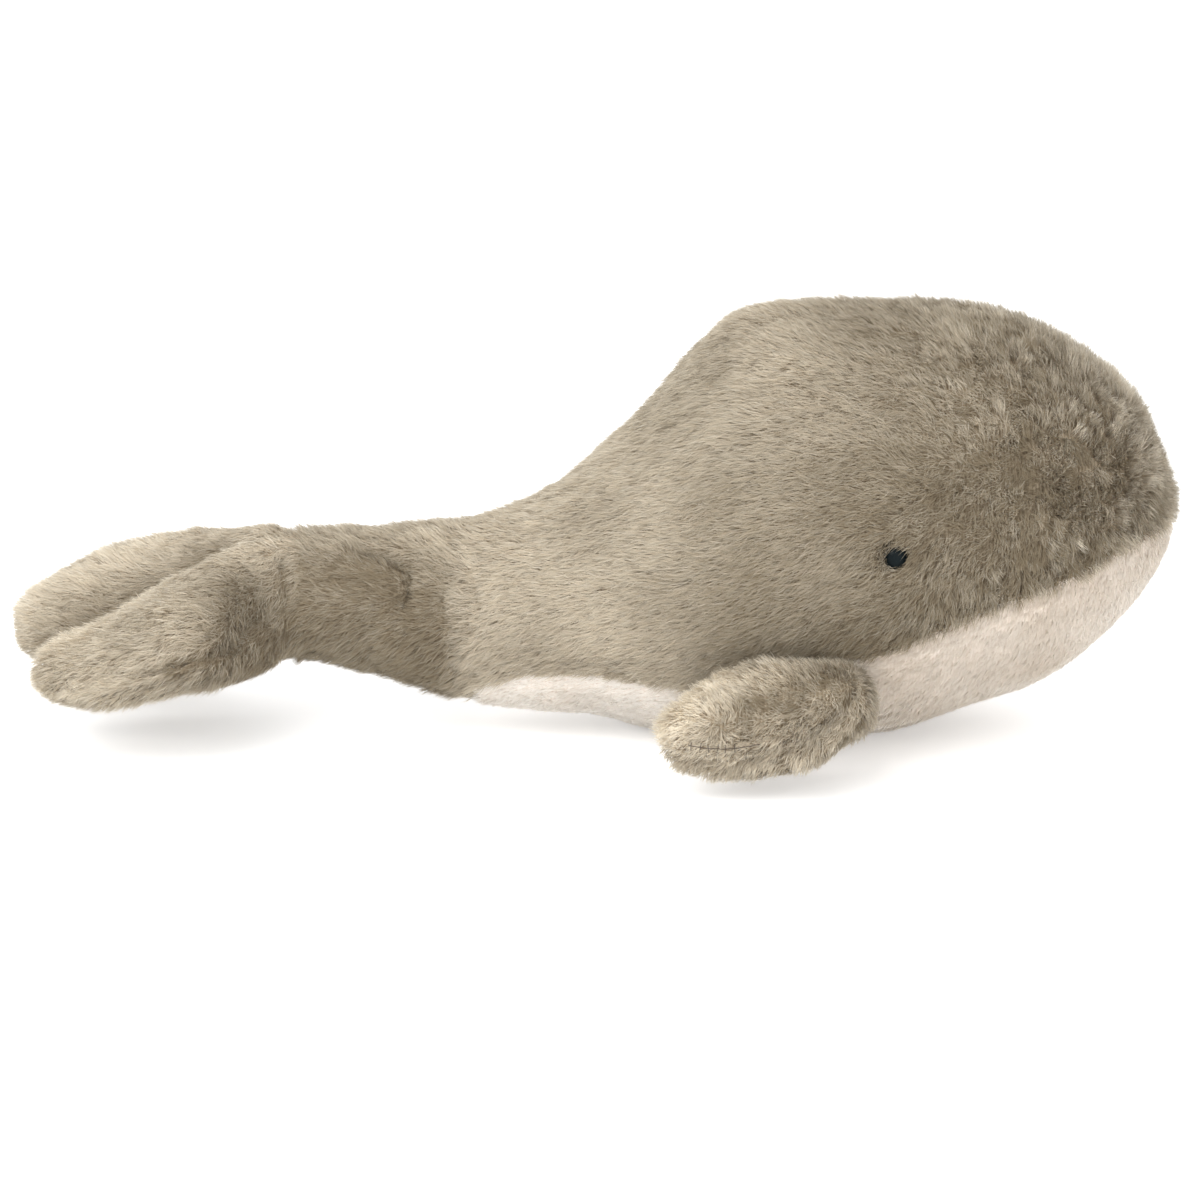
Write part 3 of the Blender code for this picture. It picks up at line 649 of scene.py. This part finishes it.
def field(points, size, seed):
    """A soft random value from about -1 to 1 at each point, in patches of about the given size."""
    random = np.random.default_rng(seed)
    total = np.zeros(len(points))
    for _ in range(WAVES):
        way = random.normal(size=3)
        way /= np.linalg.norm(way)
        pace = 2 * math.pi / (size * random.uniform(1.2, 3.0))
        total += np.sin(points @ way * pace + random.uniform(0, 2 * math.pi))
    return total / math.sqrt(WAVES)


def ease(values, low, high):
    """0 below low, 1 above high, and a smooth rise between them, for many values."""
    share = np.clip((values - low) / (high - low), 0, 1)
    return share * share * (3 - 2 * share)


def bumps(gaps, radius):
    """1 at no gap, and fading over about a radius given in millimetres, for many values."""
    return np.exp(-((gaps / radius / MM) ** 2))


def unit(vectors):
    return vectors / np.maximum(np.linalg.norm(vectors, axis=1, keepdims=True), 1e-9)


def on_surface(directions, normals):
    """The part of each direction that lies in the surface."""
    return unit(directions - np.sum(directions * normals, axis=1, keepdims=True) * normals)


def turned(vectors, axes, angles):
    """Each vector turned about its own axis, which is square to it."""
    cosine, sine = np.cos(angles)[:, None], np.sin(angles)[:, None]
    return vectors * cosine + np.cross(axes, vectors) * sine


def scatter(shell, density, seed):
    """Roots spread evenly over a shell, and the smooth normal at each."""
    mesh = bpy.data.meshes.new("scatter")
    shell.to_mesh(mesh)
    mesh.calc_loop_triangles()
    corners = np.empty(len(mesh.loop_triangles) * 3, np.int32)
    mesh.loop_triangles.foreach_get("vertices", corners)
    corners = corners.reshape(-1, 3)
    places, normals = np.empty((2, len(mesh.vertices) * 3))
    mesh.vertices.foreach_get("co", places)
    mesh.vertex_normals.foreach_get("vector", normals)
    places, normals = places.reshape(-1, 3), normals.reshape(-1, 3)
    bpy.data.meshes.remove(mesh)
    one, two, three = (places[corners[:, k]] for k in range(3))
    area = np.linalg.norm(np.cross(two - one, three - one), axis=1) / 2
    random = np.random.default_rng(seed)
    count = int(area.sum() * density)
    pick = random.choice(len(corners), count, p=area / area.sum())
    first, second = np.sqrt(random.random(count)), random.random(count)
    weights = np.stack([1 - first, first * (1 - second), first * second], axis=1)[:, :, None]
    roots = (places[corners[pick]] * weights).sum(axis=1)
    return roots, unit((normals[corners[pick]] * weights).sum(axis=1))


def distances(tree, points):
    return np.array([tree.find(point)[2] for point in points])


def room_above(roots, normals, skins, reach):
    """How far each root can stand before it meets another skin, up to the reach."""
    room = np.full(len(roots), reach)
    for skin in skins:
        shell = bmesh.new()
        shell.from_mesh(skin.data)
        tree = BVHTree.FromBMesh(shell)
        shell.free()
        corners = np.array([corner[:] for corner in skin.bound_box])
        low, high = corners.min(axis=0) - reach, corners.max(axis=0) + reach
        for i in np.nonzero(np.all((roots > low) & (roots < high), axis=1))[0]:
            start = Vector(roots[i])
            near, normal, _, _ = tree.find_nearest(start)
            hit = tree.ray_cast(start, Vector(normals[i]), reach)[3]
            if (start - near).dot(normal) < 0:
                room[i] = 0
            elif hit is not None:
                room[i] = min(room[i], hit)
    return room


# %% [markdown]
# A tuft is a narrow blade of two pieces that tapers to a point. It starts nearly upright and bends
# over as it is combed. Tufts lean together into fine clumps, which give a pile its streaks, and
# these into coarse ones that each lie their own way where the pile is tousled. Half a million such
# blades can't be edited one by one, so all of them are bent at once as arrays, from the rows of
# one blade.

# %% Combing
QUICK_SHARE = 1.0
DENSITY = 4.2e6 * QUICK_SHARE
TUFT_WIDTH = 0.24 * MM / math.sqrt(QUICK_SHARE)
FINE_CLUMP = 0.85 * MM
COARSE_CLUMP = 4.2 * MM
LEAST_LIFT, MOST_LIFT = 0.03, 1.45


def nearest_clump(roots, size, seed):
    """The clump of each root: the nearest of some roots that are about the clumps' size apart."""
    random = np.random.default_rng(seed)
    share = min(1.0, 1 / (DENSITY * size * size))
    chosen = random.choice(len(roots), max(1, int(len(roots) * share)), replace=False)
    tree = search_tree([Vector(root) for root in roots[chosen]])
    return chosen[np.array([tree.find(root)[1] for root in roots])]


def comb(roots, normals, flow, length, lift_root, lift_tip, tousle, pull, seed):
    """Three places up each blade and a random tone for it, from how the pile lies at its root."""
    random = np.random.default_rng(seed)
    count = len(roots)
    fine = nearest_clump(roots, FINE_CLUMP, seed + 1)
    coarse = nearest_clump(roots, COARSE_CLUMP, seed + 2)
    own = random.normal(0, 1, (7, count))
    turn = 0.8 * tousle * own[0][coarse] + pull * own[1][fine] + (0.2 + 0.3 * tousle) * own[2]
    flow = turned(flow, normals, turn)
    raised = 0.3 * tousle * own[3][coarse] + 0.4 * pull * own[4][fine]
    raised += (0.09 + 0.1 * tousle) * own[6]
    length = length * (1 + 0.1 * own[5][coarse]) * random.uniform(0.78, 1.08, count)
    bend = random.normal(0, 0.22, count)
    places = [roots]
    for share in (0.2, 0.9):
        lift = lift_root + (lift_tip - lift_root) * share + raised
        lift = np.clip(lift, LEAST_LIFT, MOST_LIFT)
        way = turned(flow, normals, bend * share)
        step = way * np.cos(lift)[:, None] + normals * np.sin(lift)[:, None]
        places.append(places[-1] + step * (length * 0.5)[:, None])
    lines = np.stack(places, axis=1)
    for k, part in ((1, 0.5), (2, 1.0)):
        lines[:, k] += (roots[fine] - roots) * (part * pull)[:, None]
        lines[:, k] += (roots[coarse] - roots) * (part * 0.4 * np.clip(tousle, 0, 0.5))[:, None]
    ruffled = np.clip(tousle - 0.1, 0, 0.5)
    tone = 0.36 * ruffled * own[3][coarse] + (0.05 + 0.18 * ruffled) * own[6][fine]
    return lines, tone + random.normal(0, 0.1, count)


print("blades", round(TUFT_WIDTH / MM, 2), "mm wide,", round(DENSITY * MM * MM, 2), "on each mm2")

# %% [markdown]
# A blade is two faces round five points: two at its root, two halfway up and its tip. Its shading
# partly follows the skin under it, so that the pile reads as one soft surface and not as flakes.

# %% Blades as meshes
BLADE_WIDTHS = (1.0, 0.9)
BLADE_SIDES = np.array([-1, 1, -1, 1, 0])
BLADE_HEIGHTS = np.array([0, 0, 0.5, 0.5, 1.0])
BLADE_CORNERS = np.array([0, 1, 3, 2, 2, 3, 4])
FACE_STARTS = [0, 4]
ROLL_SPREAD = 0.5
FLOOR_GAP = 0.3 * MM
COAT_LOOK = (TAUPE_PILE, 0.7)
BELLY_LOOK = (CREAM_PILE, 0.88)


def pile(name, lines, tones, normals, material, even):
    """Makes one mesh of the blades, with their broad faces turned outwards and off the floor."""
    count, points, ends = len(lines), len(BLADE_SIDES), len(BLADE_CORNERS)
    lines[:, :, 2] = np.maximum(lines[:, :, 2], FLOOR_GAP)
    stems = unit(lines[:, 2] - lines[:, 0])
    roll = np.random.default_rng(count).normal(0, ROLL_SPREAD, count)
    across = unit(np.cross(stems, normals))
    across = turned(across, stems, roll)
    faces = unit(np.cross(across, stems))
    outward = np.sign(np.sum(faces * normals, axis=1, keepdims=True))
    half = across * outward * TUFT_WIDTH / 2
    rows = []
    for row, share in enumerate(BLADE_WIDTHS):
        rows += [lines[:, row] - half * share, lines[:, row] + half * share]
    places = np.stack([*rows, lines[:, 2]], axis=1)
    facing = np.repeat(unit(faces * outward * (1 - even) + normals * even), points, axis=0)
    mesh = bpy.data.meshes.new(name)
    mesh.vertices.add(count * points)
    mesh.loops.add(count * ends)
    mesh.polygons.add(count * len(FACE_STARTS))
    mesh.vertices.foreach_set("co", places.reshape(-1).astype(np.float32))
    every = np.arange(count)[:, None]
    corners = (every * points + BLADE_CORNERS).reshape(-1).astype(np.int32)
    mesh.loops.foreach_set("vertex_index", corners)
    starts = (every * ends + FACE_STARTS).reshape(-1).astype(np.int32)
    mesh.polygons.foreach_set("loop_start", starts)
    mesh.update(calc_edges=True)
    chart = np.empty((count, ends, 2), np.float32)
    chart[:, :, 0] = np.clip(tones, 0.01, 0.99)[:, None]
    chart[:, :, 0] += BLADE_SIDES[BLADE_CORNERS] * 0.002
    chart[:, :, 1] = 0.01 + 0.98 * BLADE_HEIGHTS[BLADE_CORNERS]
    mesh.uv_layers.new(name="OFBake").data.foreach_set("uv", chart.reshape(-1))
    mesh.materials.append(material)
    mesh.shade_smooth()
    kept = mesh.attributes.new("custom_normal", "FLOAT_VECTOR", "POINT")
    kept.data.foreach_set("vector", facing.reshape(-1).astype(np.float32))
    made = bpy.data.objects.new(name, mesh)
    scene.collection.objects.link(made)
    print(name, count, "tufts")
    return made


# %% [markdown]
# The roots are spread over the whole shell at once, except where a fin lies against it. For each
# one this step finds the panel that it stands on, and how near it is to a seam or a crease.

# %% Roots from nose to flukes
TALLEST = 9 * MM
LEAST_ROOM = 2.5 * MM
roots, normals = scatter(whale, DENSITY, 11)
room = room_above(roots, normals, fin_skins.values(), TALLEST)
kept = room > LEAST_ROOM
roots, normals, room = roots[kept], normals[kept], room[kept]
x, y, z = roots.T
on_flukes = x < TAIL_REAR
on_tail = (x < BODY_REAR) & ~on_flukes
on_body = x >= BODY_REAR
gaps = np.full((len(roots), 3), 1.0)
for i in np.nonzero(on_body)[0]:
    gaps[i] = [PANEL_TREES[node].find_nearest(Vector(roots[i]))[3] for node in BODY_PANELS]
seam_gap = np.full(len(roots), 1.0)
seam_gap[on_body] = distances(BODY_SEAMS, roots[on_body])
taper = BELLY_TAPER * (1 - ease(x, *TAPER_STRETCH))
on_belly = on_body & (gaps[:, 2] < np.minimum(gaps[:, 0], gaps[:, 1])) & (seam_gap > taper)
fluke_groove = np.zeros(len(roots))
for i in np.nonzero(on_flukes)[0]:
    seam, _, gap = FLUKE_SEAMS.find(roots[i])
    fluke_groove[i] = (1 - rise(gap, 0.5 * MM, 5 * MM)) * rise(seam.z - z[i], -1.5 * MM, 1 * MM)
crease = np.zeros(len(roots))
by_creases = np.nonzero((x < -20 * MM) & (x > -125 * MM))[0]
for i in by_creases:
    crease[i] = crease_at(Vector(roots[i]))
print("roots", len(roots), "on the belly", int(on_belly.sum()))

# %% [markdown]
# The pile is combed from the nose to the tail and a little down the flanks. Over the head it
# stands up and is tousled, so its dark roots show. On the flukes it runs along the lobes to their
# tips.

# %% Which way the pile lies
head = ease(x, 72 * MM, 142 * MM) * on_body
low = 1 - ease(z, 62 * MM, 118 * MM)
underside = ease(-normals[:, 2], -0.1, 0.6)
tail_low = (1 - ease(z, 26 * MM, 56 * MM)) * on_tail
way = np.zeros_like(roots)
way[:, 0] = -1 + 0.3 * head * low
way[:, 2] = -0.14 - 0.12 * low - 0.55 * head * low
way[on_tail, 2] = -0.5 * tail_low[on_tail]
way[on_flukes, 1] = 0.55 * np.clip(y / 16 / MM, -1, 1)[on_flukes]
side_root = ease(x, -158 * MM, -125 * MM) * (1 - ease(normals[:, 2], 0.3, 0.85))
way[on_flukes, 2] = (-0.15 - 0.2 * underside - 0.5 * side_root)[on_flukes]
way[on_belly, 2] = -0.9 * ease(x, 70 * MM, 150 * MM)[on_belly]
flow = on_surface(way, normals)
drift = np.where(on_belly | on_tail, 0.06, 0.12 + 0.2 * head)
flow = turned(flow, normals, field(roots, 18 * MM, 5) * drift)
print("combed back", round(float(-flow[:, 0].mean()), 2))

# %% [markdown]
# The hair is short on the belly and long elsewhere, shorter at seams and in creases, and never
# longer than the room that it has. Hair that is combed towards a crease ends just over it, or else
# it would hide the crease.

# %% How long the pile is and how it stands
COAT_LENGTH = 6.4 * MM
BELLY_LENGTH = 3.4 * MM
FIRM_CREASE = 1.6
reach = np.full(len(roots), TALLEST)
for i in by_creases:
    point, number, gap = CREASE_TREE.find(roots[i])
    if x[i] > point.x and gap < TALLEST:
        firm = min(1, CREASE_POINTS[number][1] / FIRM_CREASE)
        reach[i] = reach[i] * (1 - firm) + (1.2 * gap + 1.2 * MM) * firm

puff = field(roots, 11 * MM, 6)
length = np.where(on_belly, BELLY_LENGTH, COAT_LENGTH * (1 + 0.1 * puff))
length *= 0.8 + 0.2 * ease(seam_gap, 0.3 * MM, 3 * MM)
length *= 1 - 0.55 * fluke_groove
length *= 1 - 0.3 * np.minimum(crease, 1.3)
length = np.minimum(length, reach)
length += 2.5 * MM * on_belly * (1 - ease(x, -54 * MM, -44 * MM))
valley_gap = y - VALLEY_DRIFT * ease(-x, 125 * MM, 155 * MM)
length *= 1 - 0.45 * on_flukes * bumps(valley_gap, 7)
length = np.minimum(length, room * 1.5)
tousle = np.where(on_belly, 0.02, 0.10 + 0.48 * head)
tousle += 0.14 * on_tail * (1 - tail_low)
tousle += 0.12 * on_flukes
flat = on_flukes * ease(x, -158 * MM, -125 * MM)
coat_root = 58 + 10 * head - 22 * flat + 4 * puff
coat_tip = 18 + 20 * head + 6 * (on_tail | on_flukes) - 14 * flat + 5 * puff
lift_root = np.where(on_belly, np.radians(52), np.radians(coat_root))
lift_tip = np.where(on_belly, np.radians(16), np.radians(coat_tip))
pull = np.where(on_belly, 0.02, 0.08 + 0.12 * head)
lines, tones = comb(roots, normals, flow, length, lift_root, lift_tip, tousle, pull, 31)
print("hair", round(float(length.min() / MM), 1), "to", round(float(length.max() / MM), 1), "mm")

# %% [markdown]
# The shade of the tufts follows the photographed side, and much of it is painted light and shade.
# It is dark behind the cheek and lighter towards the tail, partly for the upright pile's own darker
# look over the head and partly as painted shade. Painted light makes it lighter on top and towards
# the nose. Painted shade darkens the low flanks, the creases, the tail stock below its top, the
# fluke root, the fluke seam and the valley between the lobes, and painted light brightens the
# lobes' ridges.

# %% How the pile is shaded
# Painted light: lighter where the pile faces up and towards the nose. The fall towards the head is
# partly the upright pile's own look and partly painted shade.
upward = ease(normals[:, 2], 0.2, 0.8)
shade = 0.57 - 0.3 * ease(x, -4 * MM, 50 * MM) - 0.18 * ease(x, 55 * MM, 95 * MM)
shade += 0.21 * ease(x, 140 * MM, 190 * MM) + 0.24 * upward * ease(x, 10 * MM, 60 * MM)
# Painted shade: the body's pile is darker towards the bottom.
shade -= 0.05 * (1 - ease(z, 35 * MM, 70 * MM)) * on_body
shade += 0.06 * field(roots, 24 * MM, 9) + 0.03 * puff
shade += 0.12 * head * field(roots, 8 * MM, 21)
# Painted shade: the tail stock darker behind the body seam except along its top, and the creases
# and the hollow of the upper fold darker.
tail_painted_shade = ease(-x, 40 * MM, 58 * MM) * (1 - 0.85 * ease(z, 59 * MM, 69 * MM))
fold = np.linalg.norm(roots - np.array((-72, -22, 59)) * MM, axis=1)
shade -= ~on_flukes * 0.44 * tail_painted_shade + 0.22 * crease + 0.12 * bumps(fold, 9)
# Painted light: the flukes' pile is lighter where it faces up.
shade += on_flukes * (-0.02 + 0.08 * normals[:, 2])
# Painted shade: the fluke root is darker below its top.
shade -= on_flukes * 0.43 * ease(x, -146 * MM, -120 * MM) * (1 - ease(z, 57 * MM, 67 * MM))
# Painted shade: darker in the flukes' seam groove, fading out at the tips.
shade -= 0.75 * fluke_groove * ease(x, -188 * MM, -160 * MM)
# Painted shade: darker in the valley between the lobes.
shade -= on_flukes * 0.45 * bumps(valley_gap - 2 * MM, 7) * ease(-x, 122 * MM, 132 * MM)
# Painted light: lighter on the upward-facing ridges of the lobes.
shade += on_flukes * 0.14 * bumps(abs(valley_gap) - 20 * MM, 9) * ease(normals[:, 2], 0, 0.6)
tones = shade + tones
# Painted shade: the belly's cream pile darker towards the front, and painted light makes it lighter
# again at the nose.
belly_painted_shade = 0.95 - 0.58 * ease(x, 0, 90 * MM) + 0.1 * ease(x, 140 * MM, 180 * MM)
belly_tones = belly_painted_shade + 0.6 * (tones - shade) + 0.1 * field(roots, 20 * MM, 16)
tones[on_belly] = belly_tones[on_belly]
print("mean tone", round(float(tones.mean()), 2))

# %% [markdown]
# The eyes sit in the pile. Tufts don't grow from under them, and those around them part, but some
# still reach over the rim, so each eye looks small and ragged as on the real toy. The tufts close
# round each eye are darkened as painted shadow.

# %% Parting the pile round the eyes
EYE_OPENING = (4.1 * MM, 2.9 * MM)
ROUND_THE_EYE = 16 * MM
STRAY_SHARE = 0.32
EYE_PAINTED_SHADOW = 0.25
for side in HANDS:
    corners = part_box(side + "_eye")
    centre = np.array((corners[0] + corners[1]) / 2)
    near = np.nonzero(np.linalg.norm(roots - centre, axis=1) < ROUND_THE_EYE)[0]
    axis = unit(normals[near].mean(axis=0, keepdims=True))[0]
    stray = np.random.default_rng(77).random(len(near)) < STRAY_SHARE
    for k in range(3):
        offset = lines[near, k] - centre
        height = offset @ axis
        flat = offset - height[:, None] * axis
        angle = np.arctan2(flat[:, 2], flat[:, 0])
        ragged = 1 + 0.14 * np.sin(2 * angle + 0.6) + 0.14 * np.sin(5 * angle)
        ragged += 0.1 * np.sin(9 * angle + 1)
        ragged -= 0.35 * np.exp(-(((angle - 1.2) / 0.35) ** 2))
        oval = np.hypot(flat[:, 0] / EYE_OPENING[0], flat[:, 2] / EYE_OPENING[1]) / ragged
        if k == 0:
            under = oval < 0.9
        else:
            push = (oval < 1) & ~stray
            spread = flat / np.maximum(oval, 0.15)[:, None]
            lines[near[push], k] = (centre + height[:, None] * axis + spread)[push]
    # Painted shadow: the tufts round each eye are darkened.
    tones[near] -= EYE_PAINTED_SHADOW * bumps(np.linalg.norm(offset, axis=1), 6)
    gone = near[under]
    arrays = (lines, tones, roots, normals, on_flukes, on_tail, on_body, on_belly)
    lines, tones, roots, normals, on_flukes, on_tail, on_body, on_belly = (
        np.delete(array, gone, axis=0) for array in arrays
    )
    print(side, "eye:", len(gone), "tufts left out")

# %% [markdown]
# The pile is made as several meshes, split by part and by side, so that none is too large.

# %% Making the pile's meshes
on_right = roots[:, 1] < 0
FRONT_X, MIDDLE_X = 105 * MM, 40 * MM
coat = on_body & ~on_belly
stretches = {
    "front": roots[:, 0] > FRONT_X,
    "middle": (roots[:, 0] <= FRONT_X) & (roots[:, 0] > MIDDLE_X),
    "rear": roots[:, 0] <= MIDDLE_X,
}
members = {
    f"pile_{side}_{name}": coat & half & stretch
    for side, half in (("right", on_right), ("left", ~on_right))
    for name, stretch in stretches.items()
}
members |= {f"pile_belly_{name}": on_belly & stretch for name, stretch in stretches.items()}
members |= {"pile_tail": on_tail}
members |= {"pile_flukes_right": on_flukes & on_right, "pile_flukes_left": on_flukes & ~on_right}
piles = {}
for name, group in members.items():
    look = BELLY_LOOK if "belly" in name else COAT_LOOK
    piles[name] = pile(name, lines[group], tones[group], normals[group], *look)
print("tufts", len(lines))

# %% [markdown]
# Each fin was turned right side out and stuffed through a gap near its edge, and the gap was then
# closed by hand. The thread shows as a dark line with small cross stitches, and it pulls the pile
# down, so the tufts along it are short.

# %% Fin pile
FIN_SEEDS = {"left": 301, "right": 401}
FIN_LENGTH = 4.9 * MM
FIN_TOUSLE, FIN_PULL = 0.42, 0.12
# A whorl in the pile, and a line along the pad where dark roots show, as seen on the left fin
WHORL = (33.3, 95.6, 29.5)
BROWN = on_both_fins(((34, 96, 33), (39.2, 94.4, 34), (58, 88, 38), (77.2, 77.3, 43.6)))

fin_piles = {}
for side, hand in HANDS.items():
    seed = FIN_SEEDS[side]
    roots, normals = scatter(fins[side], DENSITY * 1.1, seed)
    room = room_above(roots, normals, (body_skin,), TALLEST)
    kept = room > LEAST_ROOM
    roots, normals, room = roots[kept], normals[kept], room[kept]
    gap = distances(FIN_GROOVES[side], roots)
    stitch_gap = distances(STITCHED[side], roots)
    seam_line_gap = distances(SEAMED[side], roots)
    below = np.array([below_groove(side, root) for root in roots])
    roll = ease(below, -0.5 * MM, 2 * MM)
    whorl = roots - np.array(WHORL) * [1, hand, 1] * MM
    spread = np.linalg.norm(whorl, axis=1)
    spin = bumps(spread, 6)
    crescent = bumps(spread - 5 * MM, 1.3) * ease(whorl[:, 2], -1 * MM, 2 * MM)
    way = np.stack([-0.9 + 0 * gap, 0.3 * hand + 0 * gap, 0.1 - 1.1 * roll], axis=1)
    swirl = unit(whorl) * 0.4 + np.cross(normals, unit(whorl))
    flow = on_surface(way * (1 - spin)[:, None] + swirl * spin[:, None] * 0.8, normals)
    puff = field(roots, 9 * MM, seed + 2)
    flow = turned(flow, normals, field(roots, 14 * MM, seed + 1) * 0.25)
    front = ease(normals[:, 0], 0.2, 0.8)
    brown = bumps(distances(BROWN[side], roots), 6) * (1 - roll)
    length = FIN_LENGTH * (1 + 0.1 * puff) * (0.6 + 0.4 * ease(gap, 0.5 * MM, 4 * MM))
    length = np.minimum(length, 1.5 * MM + 0.9 * stitch_gap)
    length = np.minimum(length, 2.2 * MM + 1.2 * seam_line_gap)
    length = np.minimum(length, room * 1.5)
    lift_root = np.radians(58 - 6 * front + 10 * brown + 4 * puff)
    lift_tip = np.radians(30 - 8 * front + 12 * brown + 5 * puff)
    tousle, pull = np.full((2, len(roots)), [[FIN_TOUSLE], [FIN_PULL]])
    lines, tones = comb(roots, normals, flow, length, lift_root, lift_tip, tousle, pull, seed + 3)
    # Painted light and shade in the fin's tone: lighter where the pile faces up and towards the
    # fin's rear tip, and painted shade on the roll, on the side facing forward, in the groove and
    # along the seam line. The brown line darkens where the dark roots show, and the crescent above
    # the whorl is lighter.
    tones += 0.67 + 0.08 * normals[:, 2] + 0.08 * field(roots, 16 * MM, seed + 5) - 0.14 * roll
    tones += 0.3 * (1 - ease(roots[:, 0], 22 * MM, 46 * MM)) * (1 - roll) - 0.28 * front
    tones -= 0.4 * bumps(gap, 2.5) + 0.1 * bumps(seam_line_gap, 1.2)
    tones += 0.2 * crescent - 0.7 * brown
    fin_piles[side] = pile(f"pile_{side}_fin", lines, tones, normals, *COAT_LOOK)

# %% [markdown]
# The thread lies just over the skin, as one run along the line and a few short stitches across it.

# %% Hand stitches
THREAD_RADIUS = 0.17 * MM
THREAD_LIFT = 0.5
CROSS_STITCHES = 6
CROSS_STITCH_REACH = 1.5
thread_material, start, feed = new_material("thread", 0.7)
place = start.node("ShaderNodeTexCoord", outputs=3)
twist = start.node("ShaderNodeTexWave", {"wave_type": "BANDS"}, 1, Vector=place, Scale=900.0)
feed("Base Color", twist.mixed(colour(58, 50, 42), colour(92, 82, 70)))


def thread(name, strands):
    """A mesh of round threads through some lists of places."""
    line = bpy.data.curves.new(name, "CURVE")
    line.dimensions = "3D"
    line.bevel_depth = THREAD_RADIUS
    line.bevel_resolution = 1
    line.use_fill_caps = True
    for places in strands:
        spline = line.splines.new("POLY")
        spline.points.add(len(places) - 1)
        for point, place in zip(spline.points, places):
            point.co = (*place, 1)
    drawn = bpy.data.objects.new(name, line)
    scene.collection.objects.link(drawn)
    bpy.context.view_layer.update()
    graph = bpy.context.evaluated_depsgraph_get()
    mesh = bpy.data.meshes.new_from_object(drawn.evaluated_get(graph))
    bpy.data.objects.remove(drawn)
    mesh.materials.append(thread_material)
    made = bpy.data.objects.new(name, mesh)
    scene.collection.objects.link(made)
    return made


stitches = {}
for side, hand in HANDS.items():
    line = mirrored(STITCH_LINE, hand)
    lift = Vector((0, hand, 0.15)).normalized() * THREAD_LIFT * MM
    strands = [[point + lift for point in line]]
    for i in range(CROSS_STITCHES):
        at = int((i + 0.5) / CROSS_STITCHES * (len(line) - 1) * 0.7)
        tilt = Vector((0.18 * math.sin(i * 2.4), 0.2 * hand, 1))
        tilt = tilt.normalized() * CROSS_STITCH_REACH * MM
        strands.append([line[at] + lift - tilt, line[at] + lift * 1.5, line[at] + lift + tilt])
    stitches[side] = thread(side + "_fin_stitches", strands)
    print(side, "fin:", len(strands), "threads")

# %% [markdown]
# The eyes are nearly black and only softly glossy, and the hidden washers are pale. Both are the
# CAD solids themselves, with a faint cloudiness in their colour.

# %% Eyes and washers
def plastic(name, roughness, grain, one, two, **constants):
    """A plastic with a cloudy mix of two near colours."""
    made, start, feed = new_material(name, roughness, **constants)
    place = start.node("ShaderNodeTexCoord", outputs=3)
    cloud = start.node("ShaderNodeTexNoise", None, 0, Vector=place, Scale=grain)
    feed("Base Color", cloud.mixed(one, two))
    return made


BLACK = (colour(3, 8, 10), colour(8, 20, 23))
PALE = (colour(225, 225, 220), colour(235, 235, 230))
eye_material = plastic("eye_plastic", 0.35, 400.0, *BLACK, Specular_IOR_Level=0.1)
washer_material = plastic("washer_plastic", 0.5, 300.0, *PALE)
for side in HANDS:
    for node, material in ((side + "_eye", eye_material), (side + "_eye_washer", washer_material)):
        frame["nodes"][node].data.materials.clear()
        frame["nodes"][node].data.materials.append(material)
        print(node, "is", material.name)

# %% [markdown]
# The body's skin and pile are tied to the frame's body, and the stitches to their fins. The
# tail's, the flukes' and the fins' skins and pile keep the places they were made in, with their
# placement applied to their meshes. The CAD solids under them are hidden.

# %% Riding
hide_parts(*BODY_PANELS, "body_filling")
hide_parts(*TAIL_NODES)
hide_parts(*FLUKE_NODES)
for name, piece in {"body_skin": body_skin, **piles}.items():
    if "tail" not in name and "fluke" not in name:
        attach(piece, "body")
for piece in (tail_skin, piles["pile_tail"]):
    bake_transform(piece)
for piece in (fluke_skin, piles["pile_flukes_right"], piles["pile_flukes_left"]):
    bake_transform(piece)
for side, hand in HANDS.items():
    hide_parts(*FIN_NODES[side])
    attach(stitches[side], side + "_fin")
    for piece in (fin_skins[side], fin_piles[side]):
        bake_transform(piece)

# %% [markdown]
# The light is plain and soft, mostly from the front and above, as from a window behind the camera.
# The floor is pale and keeps the toy's shadow.

# %% Floor and light
LAMP_AIM = Vector((0, 0, 0.05))
LAMP_SIZE = 2.0


def grey(value):
    return (value, value, value, 1)


floor = bpy.data.objects.new("floor", bpy.data.meshes.new("floor"))
sheet = bmesh.new()
bmesh.ops.create_grid(sheet, x_segments=1, y_segments=1, size=6)
sheet.to_mesh(floor.data)
sheet.free()
scene.collection.objects.link(floor)
floor_material, start, feed = new_material("floor", 0.9, Specular_IOR_Level=0.0)
shader = floor_material.node_tree.nodes["Principled BSDF"]
shader.inputs["Base Color"].default_value = grey(0.9)
shader.inputs["Emission Strength"].default_value = 1.0
rays = start.node("ShaderNodeLightPath", outputs=0)
feed("Emission Color", rays.mixed(grey(0.25), grey(0.3)))
floor.data.materials.append(floor_material)

world = bpy.data.worlds.new("world")
world.use_nodes = True
scene.world = world
back = world.node_tree.nodes["Background"]
start = Socket(world.node_tree, None)
seen = start.node("ShaderNodeLightPath", outputs=0)
shade = seen.mixed(grey(0.95), grey(1))
world.node_tree.links.new(shade.socket, back.inputs["Color"])


def soft_box(name, place, power):
    lamp = bpy.data.lights.new(name, "AREA")
    lamp.shape = "DISK"
    lamp.size = LAMP_SIZE
    lamp.energy = power
    made = bpy.data.objects.new(name, lamp)
    made.location = place
    made.rotation_euler = (Vector(place) - LAMP_AIM).to_track_quat("Z", "Y").to_euler()
    scene.collection.objects.link(made)
    print("lamp", name, power, "W")


soft_box("key", (-1.0, -1.3, 1.4), 42)
soft_box("fill", (0.9, -1.5, 0.6), 14)
soft_box("back", (-0.5, 1.4, 1.3), 16)
scene.view_settings.view_transform = "Standard"
